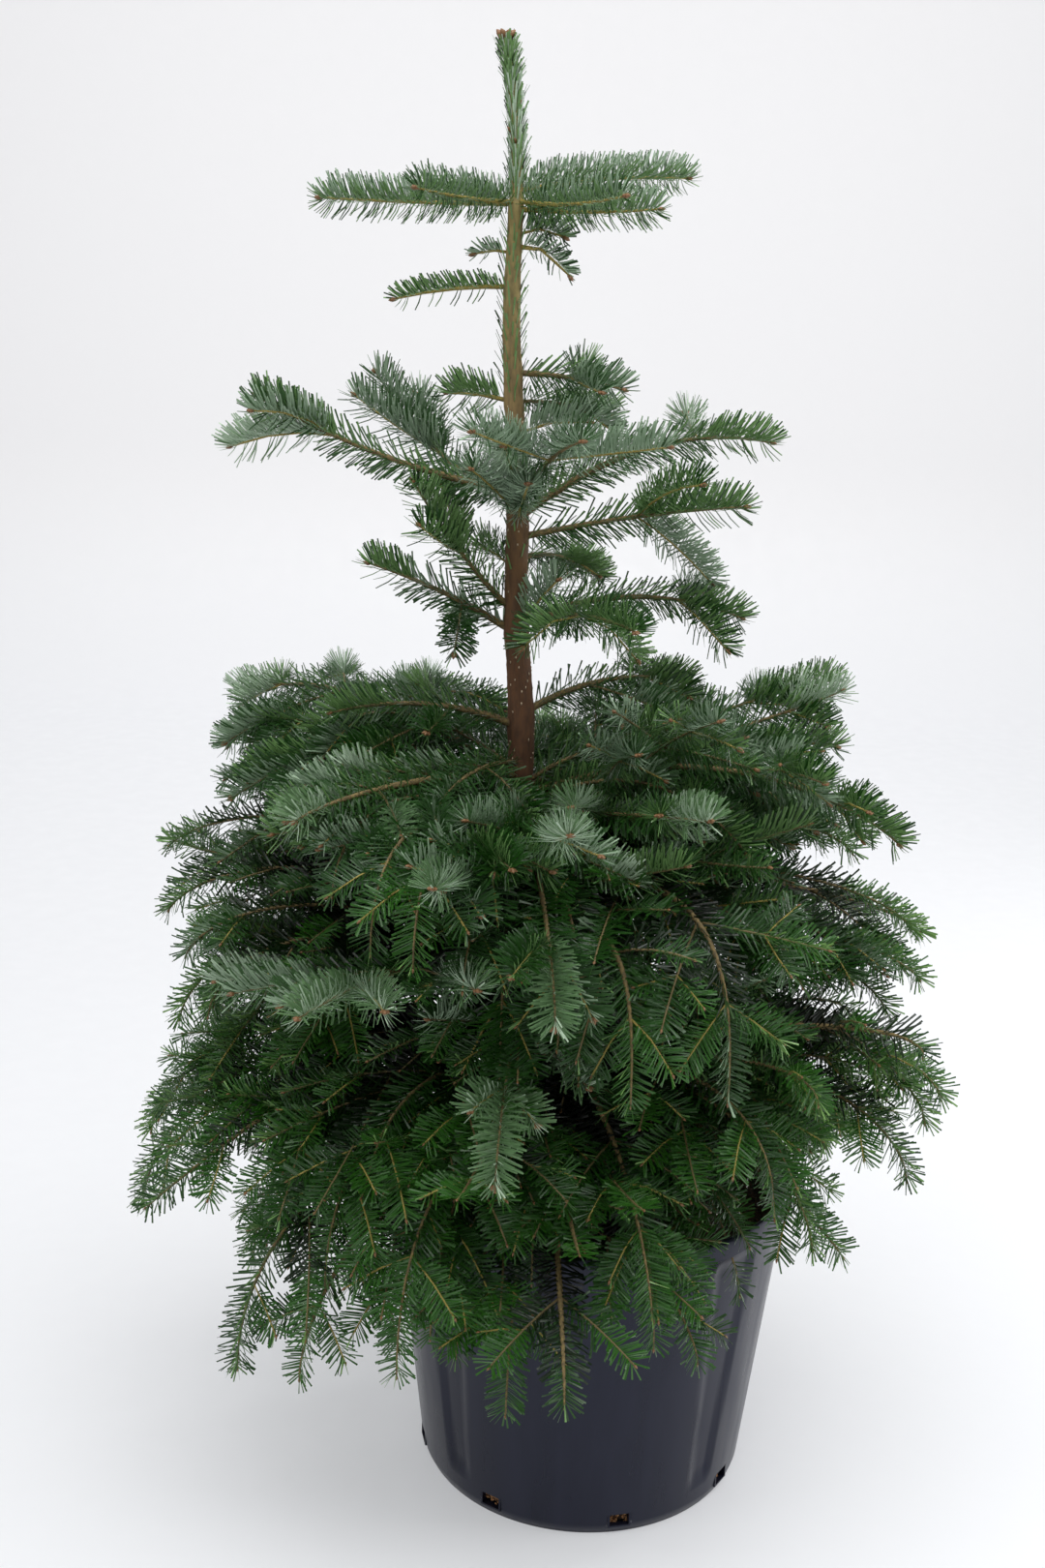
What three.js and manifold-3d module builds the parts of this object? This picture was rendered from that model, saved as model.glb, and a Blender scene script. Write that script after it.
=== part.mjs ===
import * as THREE from "three";
import { mergeVertices } from "three/addons/utils/BufferGeometryUtils.js";
import Module from "manifold-3d";

// A nordmann fir in its nursery pot, in millimetres, +Z up.
// The origin is the middle of the pot's underside. The viewer stands at -Y, with +X to the right.

// Pot
const POT_HEIGHT = 282;
const POT_FOOT_RADIUS = 141;
const POT_BASE_RADIUS = 144;
const POT_SHOULDER_RADIUS = 174;
const POT_RIM_RADIUS = 178.4;
const POT_RIM_DEPTH = 18;
const POT_WALL = 3;
const POT_FLOOR = 8;
const POT_SIDES = 36;
const FLUTE_COUNT = 4;
const FLUTE_FIRST_ANGLE = -137;
const FLUTE_DEPTH = 3.2;
const DRAIN_COUNT = 8;
const DRAIN_FIRST_ANGLE = -123;
const DRAIN_SIZE = { across: 18, deep: 16, high: 12 };
const DRAIN_HEIGHT = 15;

// Compost, a little below the rim
const SOIL_HEIGHT = 262;
const SOIL_EDGE_HEIGHT = 255;
const SOIL_FLAT_RADIUS = 95;

// Gap that touching pieces keep, and the smallest step that is kept in a fused piece
const GAP = 0.3;
const SMALLEST_STEP = 0.2;

// Trunk: flat cut on the compost, a lean to the left and a slight wander, one sway for each wave.
// The leading shoot is thinner from where it starts.
const TRUNK_FOOT = SOIL_HEIGHT + GAP;
const TRUNK_TOP = 1196;
const TRUNK_FOOT_X = -50;
const TRUNK_LEAN = -47;
const TRUNK_SWAYS = [-3.2, -5.1, 0.7, 1.8, 6.6, 4.1, 4.3];
const TRUNK_BOW = 4;
const TRUNK_TIP_RADIUS = 2.2;
const TRUNK_FOOT_RADIUS = 14.5;
const TRUNK_TAPER = 0.64;
const LEADER_FOOT = 1072;
const LEADER_STEP = 16;
const LEADER_THINNING = 0.18;
const FLARE_RADIUS = 8;
const FLARE_HEIGHT = 22;
const CROWN_TOP = 1200;

// Growth rule
const SEED = 1000;
const SEED_STEP = 77;
const YEAR_FADE = 0.12;
const FORK_SPREAD = 14;
const SHORTEST_SHOOT = 30;
const LONG_TWIG = 85;
const SHOOT_SHARE = [0.78, 1.02];
const DROOP_SHARE = [0.6, 1.4];
const FORWARD_CURVE = 0.1;
const MOST_ORDERS = 2;

// Radius of a stem and of a side shoot: at the tip, and at the foot with what each year adds
const TIP_RADIUS = 1.3;
const STEM_RADIUS = { first: 1.4, yearly: 0.7 };
const SHOOT_RADIUS = { first: 1, yearly: 0.5 };

// Ribs and their needles, each tooth a bunch of needles
const STEM_SEGMENT = 42;
const SIDE_SEGMENT = 44;
const NEEDLE_LENGTH = 25;
const NEEDLE_SHARE = [0.9, 1.15];
const NEEDLE_FORWARD = 0.75;
const NEEDLE_RISE = [0.2, 0.5];
const BUD_LENGTH = 8;
const BARE_STEM = 0.2;
const BARE_FORK = 0.3;
const LEADER_SIDES = 5;
const LEADER_SEGMENTS = 4;
const LEADER_SLEEVE = { from: 1090, below: 4, thick: 2.4 };
const LEADER_NEEDLE_LENGTH = 15;
const LEADER_NEEDLE_SHARE = [0.85, 1.15];
const LEADER_NEEDLE_RISE = 2.2;

// Needle lengths tried in turn, as a share of the full one, until a rib keeps clear
const SHARES_TRIED = [1, 0.7, 0.4, 0];

// Facets of the trunk and of a bare limb; the trunk's are crowded towards the flare
const TRUNK_SIDES = 10;
const TRUNK_SEGMENTS = 16;
const TRUNK_CROWDING = 1.35;
const LIMB_SIDES = 6;
const LIMB_SEGMENTS = 4;

// Each bough: name, foot height, azimuth (0 is +X, -90 the viewer), reach, lift, arch, hang, years
// of growth, the first year that forks, spread, angle, roll and sag of the forks, and the share
// that is a bare limb
const BOUGHS = [
  ["top_left", 1078, 176, 150, 1, -1, 1, 1, 1, 0, 57, 0, 0, 0],
  ["top_front_left", 1079, -131, 107, 5, -2, 1, 1, 1, 0, 57, 0, 0, 0],
  ["top_front_right", 1080, -46, 112, 2, -4, 1, 1, 1, 0, 57, 0, 0, 0],
  ["top_right", 1074, -11, 109, 2, -2, 1, 1, 1, 0, 57, 0, 0, 0],
  ["top_back_right", 1087, 32, 160, 17, 4, 1, 1, 1, 0, 57, 0, 0, 0],
  ["twig_right", 1047, -17, 44, -20, 8, 1, 1, 1, 0, 57, 0, 0, 0],
  ["twig_left", 1017, 190, 90, -11, 3, 1, 1, 1, 0, 57, 0, 0, 0],
  ["upper_right", 952, -1, 85, -10, 3, 1, 2, 1, 1.15, 70, -10, -0.03, 0],
  ["upper_left", 930, 170, 52, 5, 2, 1, 1, 1, 0, 57, 0, 0, 0],
  ["second_left", 860, 191, 203, 71, -10, 1, 3, 2, 1.24, 20, -37, 0.45, 0.26],
  ["second_left_back", 857, 146, 144, 88, -20, 1, 2, 1, 0.85, 38, -2, -0.1, 0.3],
  ["second_front", 851, -76, 186, 65, 9, 1, 2, 1, 1.3, 48, 4, 0.02, 0.3],
  ["second_right", 838, 6, 202, 64, 25, 1, 3, 2, 0.86, 94, -15, -0.08, 0.26],
  ["mid_right", 823, -4, 179, 31, 4, 1, 2, 1, 1.05, 57, 41, 0.2, 0],
  ["mid_left_high", 761, 194, 85, 105, -7, 1, 2, 1, 0.9, 38, 33, -0.09, 0],
  ["mid_left_low", 745, 183, 119, 55, 5, 1, 3, 1, 0.64, 93, 4, 0.64, 0],
  ["mid_front_right", 757, -65, 201, 27, 10, 1.2, 2, 1, 0.6, 95, 10, 0.59, 0],
  ["mid_right_low", 753, 12, 190, 3, 20, 1, 3, 2, 1.08, 58, -18, 0.35, 0],
  ["mid_back_right", 806, 60, 144, -35, 11, 1, 2, 1, 0.55, 24, 6, 0.34, 0],
  ["third_left", 667, 190, 155, 15, 13, 1, 3, 1, 0.56, 66, 9, 0.13, 0],
  ["third_right", 678, 28, 163, 13, 16, 1, 3, 1, 0.93, 70, -6, 0.13, 0],
  ["lower_left_back", 617, 151, 291, 40, 35, 1.1, 4, 1, 0.86, 59, 11, 0.28, 0.3],
  ["lower_front_left", 627, -128, 259, 17, 13, 1.3, 4, 1, 0.72, 64, 11, 0.27, 0.25],
  ["lower_front", 604, -84, 300, -73, 26, 1.4, 3, 1, 0.82, 49, 37, 0.25, 0.25],
  ["lower_front_right", 584, -49, 220, 58, -1, 0.9, 4, 1, 0.63, 68, 27, 0.28, 0],
  ["lower_right", 605, -22, 317, 8, 44, 1.1, 4, 1, 0.82, 54, 36, 0.17, 0.25],
  ["lower_right_back", 603, 14, 284, 86, 1, 1.1, 4, 1, 0.86, 59, -20, 0.17, 0],
  ["lower_back", 600, 85, 262, 8, 18, 1.2, 4, 1, 0.77, 57, 0, 0.16, 0],
  ["wide_left", 563, -194, 310, -25, -23, 1.1, 4, 1, 0.86, 48, 33, 0.28, 0],
  ["wide_front_left", 457, -117, 321, 70, 17, 0.9, 4, 1, 0.86, 55, -12, 0.07, 0],
  ["wide_front", 492, -86, 265, -42, -26, 0.9, 4, 1, 0.5, 68, -5, 0.18, 0],
  ["wide_front_right", 519, -51, 274, -83, 97, 2.2, 4, 1, 0.74, 55, -15, -0.03, 0],
  ["wide_right", 559, 6, 363, -77, 8, 1.5, 4, 1, 0.83, 48, 1, 0.27, 0],
  ["wide_back_right", 525, 42, 300, -20, 60, 1.3, 4, 1, 0.77, 57, 0, 0.15, 0],
  ["wide_back_left", 528, 128, 290, -10, 60, 1.3, 4, 1, 0.77, 57, 0, 0.15, 0],
  ["deep_left", 432, -152, 332, -127, 25, 1, 4, 1, 0.82, 52, 6, 0.04, 0],
  ["deep_front_left", 396, -82, 257, -66, -19, 1.5, 4, 1, 0.76, 61, -11, -0.05, 0],
  ["deep_front_right", 465, -70, 266, -15, 99, 2.2, 4, 1, 0.61, 52, -48, 0.28, 0],
  ["deep_right", 378, -31, 338, 84, 42, 1.8, 4, 1, 0.82, 52, 50, 0.24, 0],
  ["deep_back", 432, 82, 300, -90, 60, 1.4, 4, 1, 0.77, 57, 0, 0.17, 0],
  ["deep_back_left", 442, 150, 320, -110, 60, 1.4, 4, 1, 0.7, 57, 0, 0.17, 0],
  ["foot_front_left", 340, -133, 280, -154, 42, 1.6, 4, 1, 0.82, 61, 40, 0.12, 0],
  ["foot_front", 399, -100, 304, -1, -16, 1.1, 4, 1, 0.75, 55, -4, 0.28, 0],
  ["foot_low_front", 342, -87, 292, -114, -1, 1.7, 4, 1, 0.86, 53, 0, 0.09, 0],
  ["foot_front_right", 396, -68, 250, -130, 54, 1.3, 4, 1, 0.6, 57, 2, 0.27, 0],
  ["foot_right", 363, -30, 282, -94, 32, 1.1, 4, 1, 0.86, 63, -38, -0.04, 0],
  ["foot_back_right", 350, 25, 300, -110, 50, 1.5, 4, 1, 0.75, 57, 0, 0.17, 0],
  ["foot_back", 345, 108, 290, -120, 50, 1.5, 4, 1, 0.77, 57, 0, 0.17, 0],
];

const wasm = await Module();
wasm.setup();

const material = (color, roughness) => new THREE.MeshStandardMaterial({ color, roughness, metalness: 0 });
const POT_PLASTIC = material(0x23262c, 0.35);
const COMPOST = material(0x2b2018, 1);
const BARK = material(0x4a3a2a, 0.85);
const TWIG_BARK = material(0x7a5a32, 0.8);
const DARK_NEEDLES = material(0x1e4a26, 0.5);
const BLUE_NEEDLES = material(0x48705c, 0.5);

const WORLD_UP = new THREE.Vector3(0, 0, 1);
const radians = THREE.MathUtils.degToRad;

// Solids and meshes

function mergedOnPosition(geometry) {
  const bare = geometry.index ? geometry.clone() : geometry;
  bare.deleteAttribute("normal");
  bare.deleteAttribute("uv");
  return mergeVertices(bare, 1e-4);
}

function toSolid(geometry) {
  const merged = mergedOnPosition(geometry);
  const vertProperties = new Float32Array(merged.attributes.position.array);
  const triVerts = new Uint32Array(merged.index.array);
  return new wasm.Manifold(new wasm.Mesh({ numProp: 3, vertProperties, triVerts }));
}

// The outer skin alone: a sealed hollow is filled and a loose scrap dropped
function outerSkin(solid) {
  const parts = solid.simplify(SMALLEST_STEP).decompose();
  return parts.reduce((best, part) => (part.volume() > best.volume() ? part : best));
}

// Whether each edge still joins exactly two faces once points at the same place are one
function isClosed(solid) {
  const index = mergeVertices(toGeometry(solid), 1e-3).index.array;
  const uses = new Map();
  for (let i = 0; i < index.length; i += 3) {
    for (let edge = 0; edge < 3; edge++) {
      const ends = [index[i + edge], index[i + ((edge + 1) % 3)]].sort((a, b) => a - b);
      if (ends[0] === ends[1]) return false;
      const key = ends.join(" ");
      uses.set(key, (uses.get(key) ?? 0) + 1);
    }
  }
  return [...uses.values()].every((count) => count === 2);
}

function toGeometry(solid) {
  const { vertProperties, triVerts, numProp } = solid.getMesh();
  const count = vertProperties.length / numProp;
  const positions = new Float32Array(count * 3);
  for (let i = 0; i < count; i++) {
    for (let axis = 0; axis < 3; axis++) positions[i * 3 + axis] = vertProperties[i * numProp + axis];
  }
  const geometry = new THREE.BufferGeometry();
  geometry.setAttribute("position", new THREE.BufferAttribute(positions, 3));
  geometry.setIndex(new THREE.BufferAttribute(new Uint32Array(triVerts), 1));
  return geometry;
}

// Random numbers that are the same on every run

function seededRandom(seed) {
  let state = seed >>> 0;
  const draw = () => {
    state = (Math.imul(state, 1664525) + 1013904223) >>> 0;
    return state / 4294967296;
  };
  draw();
  draw();
  return draw;
}

function between([low, high], draw) {
  return THREE.MathUtils.lerp(low, high, draw());
}

// Trunk line

function trunkShare(z) {
  return (z - SOIL_HEIGHT) / (CROWN_TOP - SOIL_HEIGHT);
}

function trunkPoint(z) {
  const share = trunkShare(z);
  const half = Math.PI * share;
  const wander = TRUNK_SWAYS.reduce((sum, sway, wave) => sum + sway * Math.sin((wave + 1) * half), 0);
  return new THREE.Vector3(TRUNK_FOOT_X + TRUNK_LEAN * share + wander, TRUNK_BOW * Math.sin(half), z);
}

function trunkRadius(z) {
  const share = THREE.MathUtils.clamp(trunkShare(z), 0, 1);
  const taper = (TRUNK_FOOT_RADIUS - TRUNK_TIP_RADIUS) * (1 - share) ** TRUNK_TAPER;
  const thinning = 1 - LEADER_THINNING * THREE.MathUtils.clamp((z - LEADER_FOOT) / LEADER_STEP, 0, 1);
  const flare = FLARE_RADIUS * Math.exp(-(z - SOIL_HEIGHT) / FLARE_HEIGHT);
  return (TRUNK_TIP_RADIUS + taper) * thinning + flare;
}

// Growth lines: an axis is a path, its age in years, its order and its upper side

function boughPath(footHeight, azimuth, reach, lift, arch, hang) {
  const foot = trunkPoint(footHeight);
  const across = Math.cos(radians(azimuth));
  const along = Math.sin(radians(azimuth));
  return (s) => {
    const out = reach * (1 - (1 - s) ** hang);
    const rise = lift * s + arch * 4 * s * (1 - s);
    return new THREE.Vector3(foot.x + across * out, foot.y + along * out, foot.z + rise);
  };
}

function shootPath(base, tangent, side, length, angle, sag) {
  const start = tangent.clone().multiplyScalar(Math.cos(angle)).addScaledVector(side, Math.sin(angle));
  return (s) =>
    base
      .clone()
      .addScaledVector(start, length * s)
      .addScaledVector(tangent, length * FORWARD_CURVE * s * s)
      .addScaledVector(WORLD_UP, -sag * length * s * s);
}

function frameAt(path, s, up) {
  const step = 0.01;
  const tangent = path(Math.min(1, s + step)).sub(path(Math.max(0, s - step))).normalize();
  const side = new THREE.Vector3().crossVectors(tangent, up).normalize();
  return { point: path(s), tangent, side, up: new THREE.Vector3().crossVectors(side, tangent) };
}

function pathLength(path, from, to) {
  const chords = 8;
  let length = 0;
  for (let i = 0; i < chords; i++) {
    const start = path(from + ((to - from) * i) / chords);
    length += start.distanceTo(path(from + ((to - from) * (i + 1)) / chords));
  }
  return length;
}

function yearMarks(years) {
  const weights = Array.from({ length: years }, (_, year) => 1 - YEAR_FADE * year);
  const total = weights.reduce((sum, weight) => sum + weight, 0);
  let reached = 0;
  return [0, ...weights.map((weight) => (reached += weight / total))];
}

function growAxes(axis, forks, axes) {
  axes.push(axis);
  const marks = yearMarks(axis.years);
  for (let year = axis.order ? 1 : forks.first; year < axis.years; year++) {
    const { point, tangent, side, up } = frameAt(axis.path, marks[year], axis.up);
    const rest = pathLength(axis.path, marks[year], 1);
    for (const hand of [0, 1]) {
      const seed = (axis.seed * 31 + year * 7 + hand * 3 + axis.order * 131 + 17) % 4294967296;
      const draw = seededRandom(seed);
      const angle = radians(forks.angle + FORK_SPREAD * (draw() - 0.5));
      const length = rest * between(SHOOT_SHARE, draw) * forks.spread;
      const droop = forks.sag * between(DROOP_SHARE, draw);
      if (length < SHORTEST_SHOOT) continue;
      const roll = radians(forks.roll);
      const rolled = side.clone().multiplyScalar(Math.cos(roll)).addScaledVector(up, Math.sin(roll));
      const path = shootPath(point, tangent, rolled.multiplyScalar(hand ? 1 : -1), length, angle, droop);
      const shoot = { path, length, years: axis.years - year, order: axis.order + 1, seed, up, start: 0 };
      growAxes(shoot, forks, axes);
    }
  }
  return axes;
}

function boughAxes(row, index) {
  const [, footHeight, azimuth, reach, lift, arch, hang, years] = row;
  const [first, spread, angle, roll, sag, limbShare] = row.slice(8);
  const path = boughPath(footHeight, azimuth, reach, lift, arch, hang);
  const stem = { path, years, order: 0, seed: SEED + SEED_STEP * index, up: WORLD_UP, start: limbShare };
  return growAxes(stem, { first, spread, angle, roll, sag }, []).sort((a, b) => a.order - b.order);
}

// Swept solids

// A closed cylinder bent along a path, its radius following the path too, with a flat or a drawn-out end
function sweptTube(sides, segments, ring, pointLength = 0) {
  const geometry = mergedOnPosition(new THREE.CylinderGeometry(1, 1, 1, sides, segments));
  const position = geometry.attributes.position;
  for (let i = 0; i < position.count; i++) {
    const share = position.getY(i) + 0.5;
    const { point, side, up, tangent, radius } = ring(share);
    const isEndMiddle = share > 0.99 && Math.hypot(position.getX(i), position.getZ(i)) < 0.5;
    const moved = point.clone().addScaledVector(side, position.getX(i) * radius);
    moved.addScaledVector(up, position.getZ(i) * radius);
    if (isEndMiddle) moved.addScaledVector(tangent, pointLength);
    position.setXYZ(i, moved.x, moved.y, moved.z);
  }
  return geometry;
}

// A four-faced tooth that stands on a face, given its corners as seen from outside and its tip
function toothSolid(corners, tip) {
  const geometry = new THREE.BufferGeometry().setFromPoints([...corners, tip]);
  geometry.setIndex([2, 1, 0, 0, 1, 3, 1, 2, 3, 2, 0, 3]);
  return toSolid(geometry);
}

// The solid of a geometry, fused with a tooth on each face for which a tip is given
function withToothEach(geometry, tipOf) {
  const position = geometry.attributes.position;
  const index = geometry.index.array;
  const corner = (place) => new THREE.Vector3().fromBufferAttribute(position, index[place]);
  const solids = [toSolid(geometry)];
  for (let face = 0; face < index.length / 3; face++) {
    const corners = [corner(face * 3), corner(face * 3 + 1), corner(face * 3 + 2)];
    const middle = new THREE.Vector3().add(corners[0]).add(corners[1]).add(corners[2]).divideScalar(3);
    const tip = tipOf(face, middle);
    if (tip) solids.push(toothSolid(corners, tip));
  }
  return wasm.Manifold.union(solids);
}

// A three-sided rib with teeth of needles on its upper faces
function withTeeth(geometry, segments, frame, needleLength, bareShare, draw) {
  const upperFaces = { 0: 1, 2: -1 };
  return withToothEach(geometry, (face, middle) => {
    const hand = upperFaces[Math.floor(face / (2 * segments))];
    const share = 1 - ((face % (2 * segments)) + 0.5) / (2 * segments);
    if (hand === undefined || share < bareShare) return null;
    const { tangent, side, up } = frame(share);
    const length = needleLength * between(NEEDLE_SHARE, draw);
    const rise = between(NEEDLE_RISE, draw);
    const way = side.multiplyScalar(hand).addScaledVector(up, rise).addScaledVector(tangent, NEEDLE_FORWARD);
    return middle.addScaledVector(way.normalize(), length);
  });
}

function axisRadius(axis, s) {
  const foot = axis.order === 0 ? STEM_RADIUS : SHOOT_RADIUS;
  return THREE.MathUtils.lerp(foot.first + foot.yearly * axis.years, TIP_RADIUS, s);
}

function ribRing(axis, from, to) {
  return (share) => {
    const s = THREE.MathUtils.lerp(from, to, share);
    return { ...frameAt(axis.path, s, axis.up), radius: axisRadius(axis, s) };
  };
}

function needleRib(axis, from, needleLength) {
  const length = pathLength(axis.path, from, 1);
  const step = axis.order === 0 ? STEM_SEGMENT : SIDE_SEGMENT;
  const segments = Math.max(2 - Math.floor(axis.order / 2), Math.round(length / step));
  const ring = ribRing(axis, from, 1);
  const bareShare = axis.order === 0 ? BARE_STEM * (1 - from) : BARE_FORK;
  const tube = sweptTube(3, segments, ring, BUD_LENGTH);
  if (needleLength === 0) return toSolid(tube);
  return withTeeth(tube, segments, ring, needleLength, bareShare, seededRandom(axis.seed + 5));
}

// A tube with an upright tooth of needles on every side face
function withCrownTeeth(geometry, frame) {
  const draw = seededRandom(SEED);
  const axisOf = (share) => frame(share).point;
  return withToothEach(geometry, (face, middle) => {
    if (face >= 2 * LEADER_SIDES * LEADER_SEGMENTS) return null;
    const share = 1 - ((face % (2 * LEADER_SEGMENTS)) + 0.5) / (2 * LEADER_SEGMENTS);
    const way = middle.clone().sub(axisOf(share)).setZ(0).normalize();
    way.addScaledVector(WORLD_UP, LEADER_NEEDLE_RISE);
    const length = LEADER_NEEDLE_LENGTH * between(LEADER_NEEDLE_SHARE, draw);
    return middle.clone().addScaledVector(way.normalize(), length);
  });
}

// Sub-parts

function trunkSolid(extra) {
  return toSolid(
    sweptTube(TRUNK_SIDES, TRUNK_SEGMENTS, (share) => {
      const low = TRUNK_FOOT - extra;
      const z = low + (TRUNK_TOP - low) * share ** TRUNK_CROWDING;
      return {
        point: trunkPoint(z),
        side: new THREE.Vector3(1, 0, 0),
        up: new THREE.Vector3(0, -1, 0),
        tangent: WORLD_UP,
        radius: trunkRadius(z) + extra,
      };
    }),
  );
}

function potSolid() {
  const shoulder = POT_HEIGHT - POT_RIM_DEPTH;
  const profile = [
    [0, 0],
    [POT_FOOT_RADIUS, 0],
    [POT_BASE_RADIUS, 6],
    [POT_BASE_RADIUS + 2.5, 26],
    [POT_SHOULDER_RADIUS - 1.5, shoulder - 14],
    [POT_SHOULDER_RADIUS, shoulder],
    [POT_RIM_RADIUS, shoulder + 2],
    [POT_RIM_RADIUS, POT_HEIGHT - 2],
    [POT_RIM_RADIUS - 1.5, POT_HEIGHT],
    [POT_SHOULDER_RADIUS, POT_HEIGHT],
    [POT_SHOULDER_RADIUS - POT_WALL - FLUTE_DEPTH, shoulder],
    [POT_BASE_RADIUS - POT_WALL - FLUTE_DEPTH, POT_FLOOR],
    [0, POT_FLOOR],
  ].map(([radius, height]) => new THREE.Vector2(radius, height));
  const geometry = mergedOnPosition(new THREE.LatheGeometry(profile, POT_SIDES));
  geometry.rotateX(Math.PI / 2);
  geometry.rotateZ(radians(FLUTE_FIRST_ANGLE));
  pressFlutes(geometry, shoulder);
  return toSolid(geometry);
}

// Upright flutes pressed into the outer wall between the foot and the rim
function pressFlutes(geometry, shoulder) {
  const position = geometry.attributes.position;
  const pitch = 360 / FLUTE_COUNT;
  for (let i = 0; i < position.count; i++) {
    const radius = Math.hypot(position.getX(i), position.getY(i));
    const height = position.getZ(i);
    const wall = THREE.MathUtils.lerp(POT_BASE_RADIUS, POT_SHOULDER_RADIUS, height / shoulder);
    const angle = THREE.MathUtils.radToDeg(Math.atan2(position.getY(i), position.getX(i)));
    const off = THREE.MathUtils.euclideanModulo(angle - FLUTE_FIRST_ANGLE + pitch / 2, pitch) - pitch / 2;
    if (Math.abs(off) > 1 || radius < wall - 2 || height < 20 || height > shoulder - 10) continue;
    const pressed = (radius - FLUTE_DEPTH) / radius;
    position.setXY(i, position.getX(i) * pressed, position.getY(i) * pressed);
  }
}

function drainedPot() {
  let pot = potSolid();
  for (let i = 0; i < DRAIN_COUNT; i++) {
    const hole = new THREE.BoxGeometry(DRAIN_SIZE.deep, DRAIN_SIZE.across, DRAIN_SIZE.high);
    hole.translate(POT_BASE_RADIUS, 0, DRAIN_HEIGHT);
    hole.rotateZ(radians(DRAIN_FIRST_ANGLE + (360 / DRAIN_COUNT) * i));
    pot = pot.subtract(toSolid(hole));
  }
  return outerSkin(pot);
}

function soilSolid() {
  const shoulder = POT_HEIGHT - POT_RIM_DEPTH;
  const inset = POT_WALL + FLUTE_DEPTH + GAP * 2;
  const innerRadius = (height) => {
    const share = (height - POT_FLOOR) / (shoulder - POT_FLOOR);
    return THREE.MathUtils.lerp(POT_BASE_RADIUS, POT_SHOULDER_RADIUS, share) - inset;
  };
  const low = POT_FLOOR + GAP;
  const profile = [
    [0, low],
    [innerRadius(low), low],
    [innerRadius(SOIL_EDGE_HEIGHT), SOIL_EDGE_HEIGHT],
    [SOIL_FLAT_RADIUS, SOIL_HEIGHT],
    [0, SOIL_HEIGHT],
  ].map(([radius, height]) => new THREE.Vector2(radius, height));
  const geometry = new THREE.LatheGeometry(profile, POT_SIDES);
  geometry.rotateX(Math.PI / 2);
  geometry.rotateZ(radians(FLUTE_FIRST_ANGLE));
  return toSolid(geometry);
}

// A sleeve of needles round the leading shoot, open at both ends
function leaderNeedles(clearTrunk) {
  const ring = (share) => {
    const z = THREE.MathUtils.lerp(LEADER_SLEEVE.from, TRUNK_TOP - LEADER_SLEEVE.below, share);
    const side = new THREE.Vector3(1, 0, 0);
    const up = new THREE.Vector3(0, -1, 0);
    const radius = trunkRadius(z) + LEADER_SLEEVE.thick;
    return { point: trunkPoint(z), side, up, tangent: WORLD_UP, radius };
  };
  const sleeve = sweptTube(LEADER_SIDES, LEADER_SEGMENTS, ring);
  return outerSkin(withCrownTeeth(sleeve, ring).subtract(clearTrunk));
}

function limbSolid(axis, clearTrunk) {
  const length = pathLength(axis.path, 0, axis.start);
  const end = axis.start * (1 - (1.2 * GAP) / length);
  const ring = ribRing(axis, 0, end);
  return outerSkin(toSolid(sweptTube(LIMB_SIDES, LIMB_SEGMENTS, ring)).subtract(clearTrunk));
}

// Whether a rib keeps the gap to every other mass and limb
function isClear(rib, owner, placed) {
  return placed.every((other) => other === owner || clearOf(rib, other.solid));
}

function clearOf(rib, solid) {
  if (solid.isEmpty()) return true;
  const a = rib.boundingBox();
  const b = solid.boundingBox();
  const apart = [0, 1, 2].some((k) => a.min[k] > b.max[k] + GAP || b.min[k] > a.max[k] + GAP);
  return apart || rib.minGap(solid, 2 * GAP) >= GAP * 0.95;
}

// The mass with one more rib: the longest needles that keep clear and fuse cleanly, else none, else no rib
function withRib(mass, axis, clearTrunk, placed) {
  for (const share of SHARES_TRIED) {
    const rib = needleRib(axis, axis.start, NEEDLE_LENGTH * share);
    const trimmed = axis.order === 0 ? rib.subtract(clearTrunk) : rib;
    if (!isClear(trimmed, mass, placed)) continue;
    const fused = outerSkin(axis.order === 0 ? trimmed : mass.solid.add(trimmed));
    if (isClosed(fused)) return fused;
  }
  return mass.solid;
}

function growCrown(clearTrunk, fixed) {
  const masses = BOUGHS.map((row, index) => {
    const axes = boughAxes(row, index);
    const from = axes[0].start;
    const core = needleRib(axes[0], from, 0).subtract(clearTrunk);
    const limb = from > 0 ? limbSolid(axes[0], clearTrunk) : null;
    return { name: row[0], axes, from, solid: core, limb };
  });
  const limbs = masses.filter((mass) => mass.limb).map((mass) => ({ solid: mass.limb }));
  const placed = [...fixed.map((solid) => ({ solid })), ...limbs, ...masses];
  const mostRibs = Math.max(...masses.map((mass) => mass.axes.length));
  for (let rank = 0; rank < mostRibs; rank++) {
    for (const mass of masses) {
      const axis = mass.axes[rank];
      if (!axis || axis.order > MOST_ORDERS) continue;
      if (axis.order === MOST_ORDERS && axis.length < LONG_TWIG) continue;
      mass.solid = withRib(mass, axis, clearTrunk, placed);
    }
  }
  return masses;
}

// Assembly

const fir = new THREE.Group();

function addPiece(name, solid, look) {
  const mesh = new THREE.Mesh(toGeometry(solid), look.clone());
  mesh.name = name;
  fir.add(mesh);
}

const pot = drainedPot();
const soil = soilSolid();
const trunk = trunkSolid(0);
const clearTrunk = trunkSolid(GAP);
const leader = leaderNeedles(clearTrunk);

addPiece("pot", pot, POT_PLASTIC);
addPiece("soil", soil, COMPOST);
addPiece("trunk", trunk, BARK);
addPiece("needles_leader", leader, BLUE_NEEDLES);

for (const mass of growCrown(clearTrunk, [pot, soil, leader])) {
  const look = /^(top|twig|second)/.test(mass.name) ? BLUE_NEEDLES : DARK_NEEDLES;
  if (mass.limb) addPiece("bough_" + mass.name, mass.limb, TWIG_BARK);
  addPiece("needles_" + mass.name, mass.solid, look);
}

export default fir;
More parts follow.
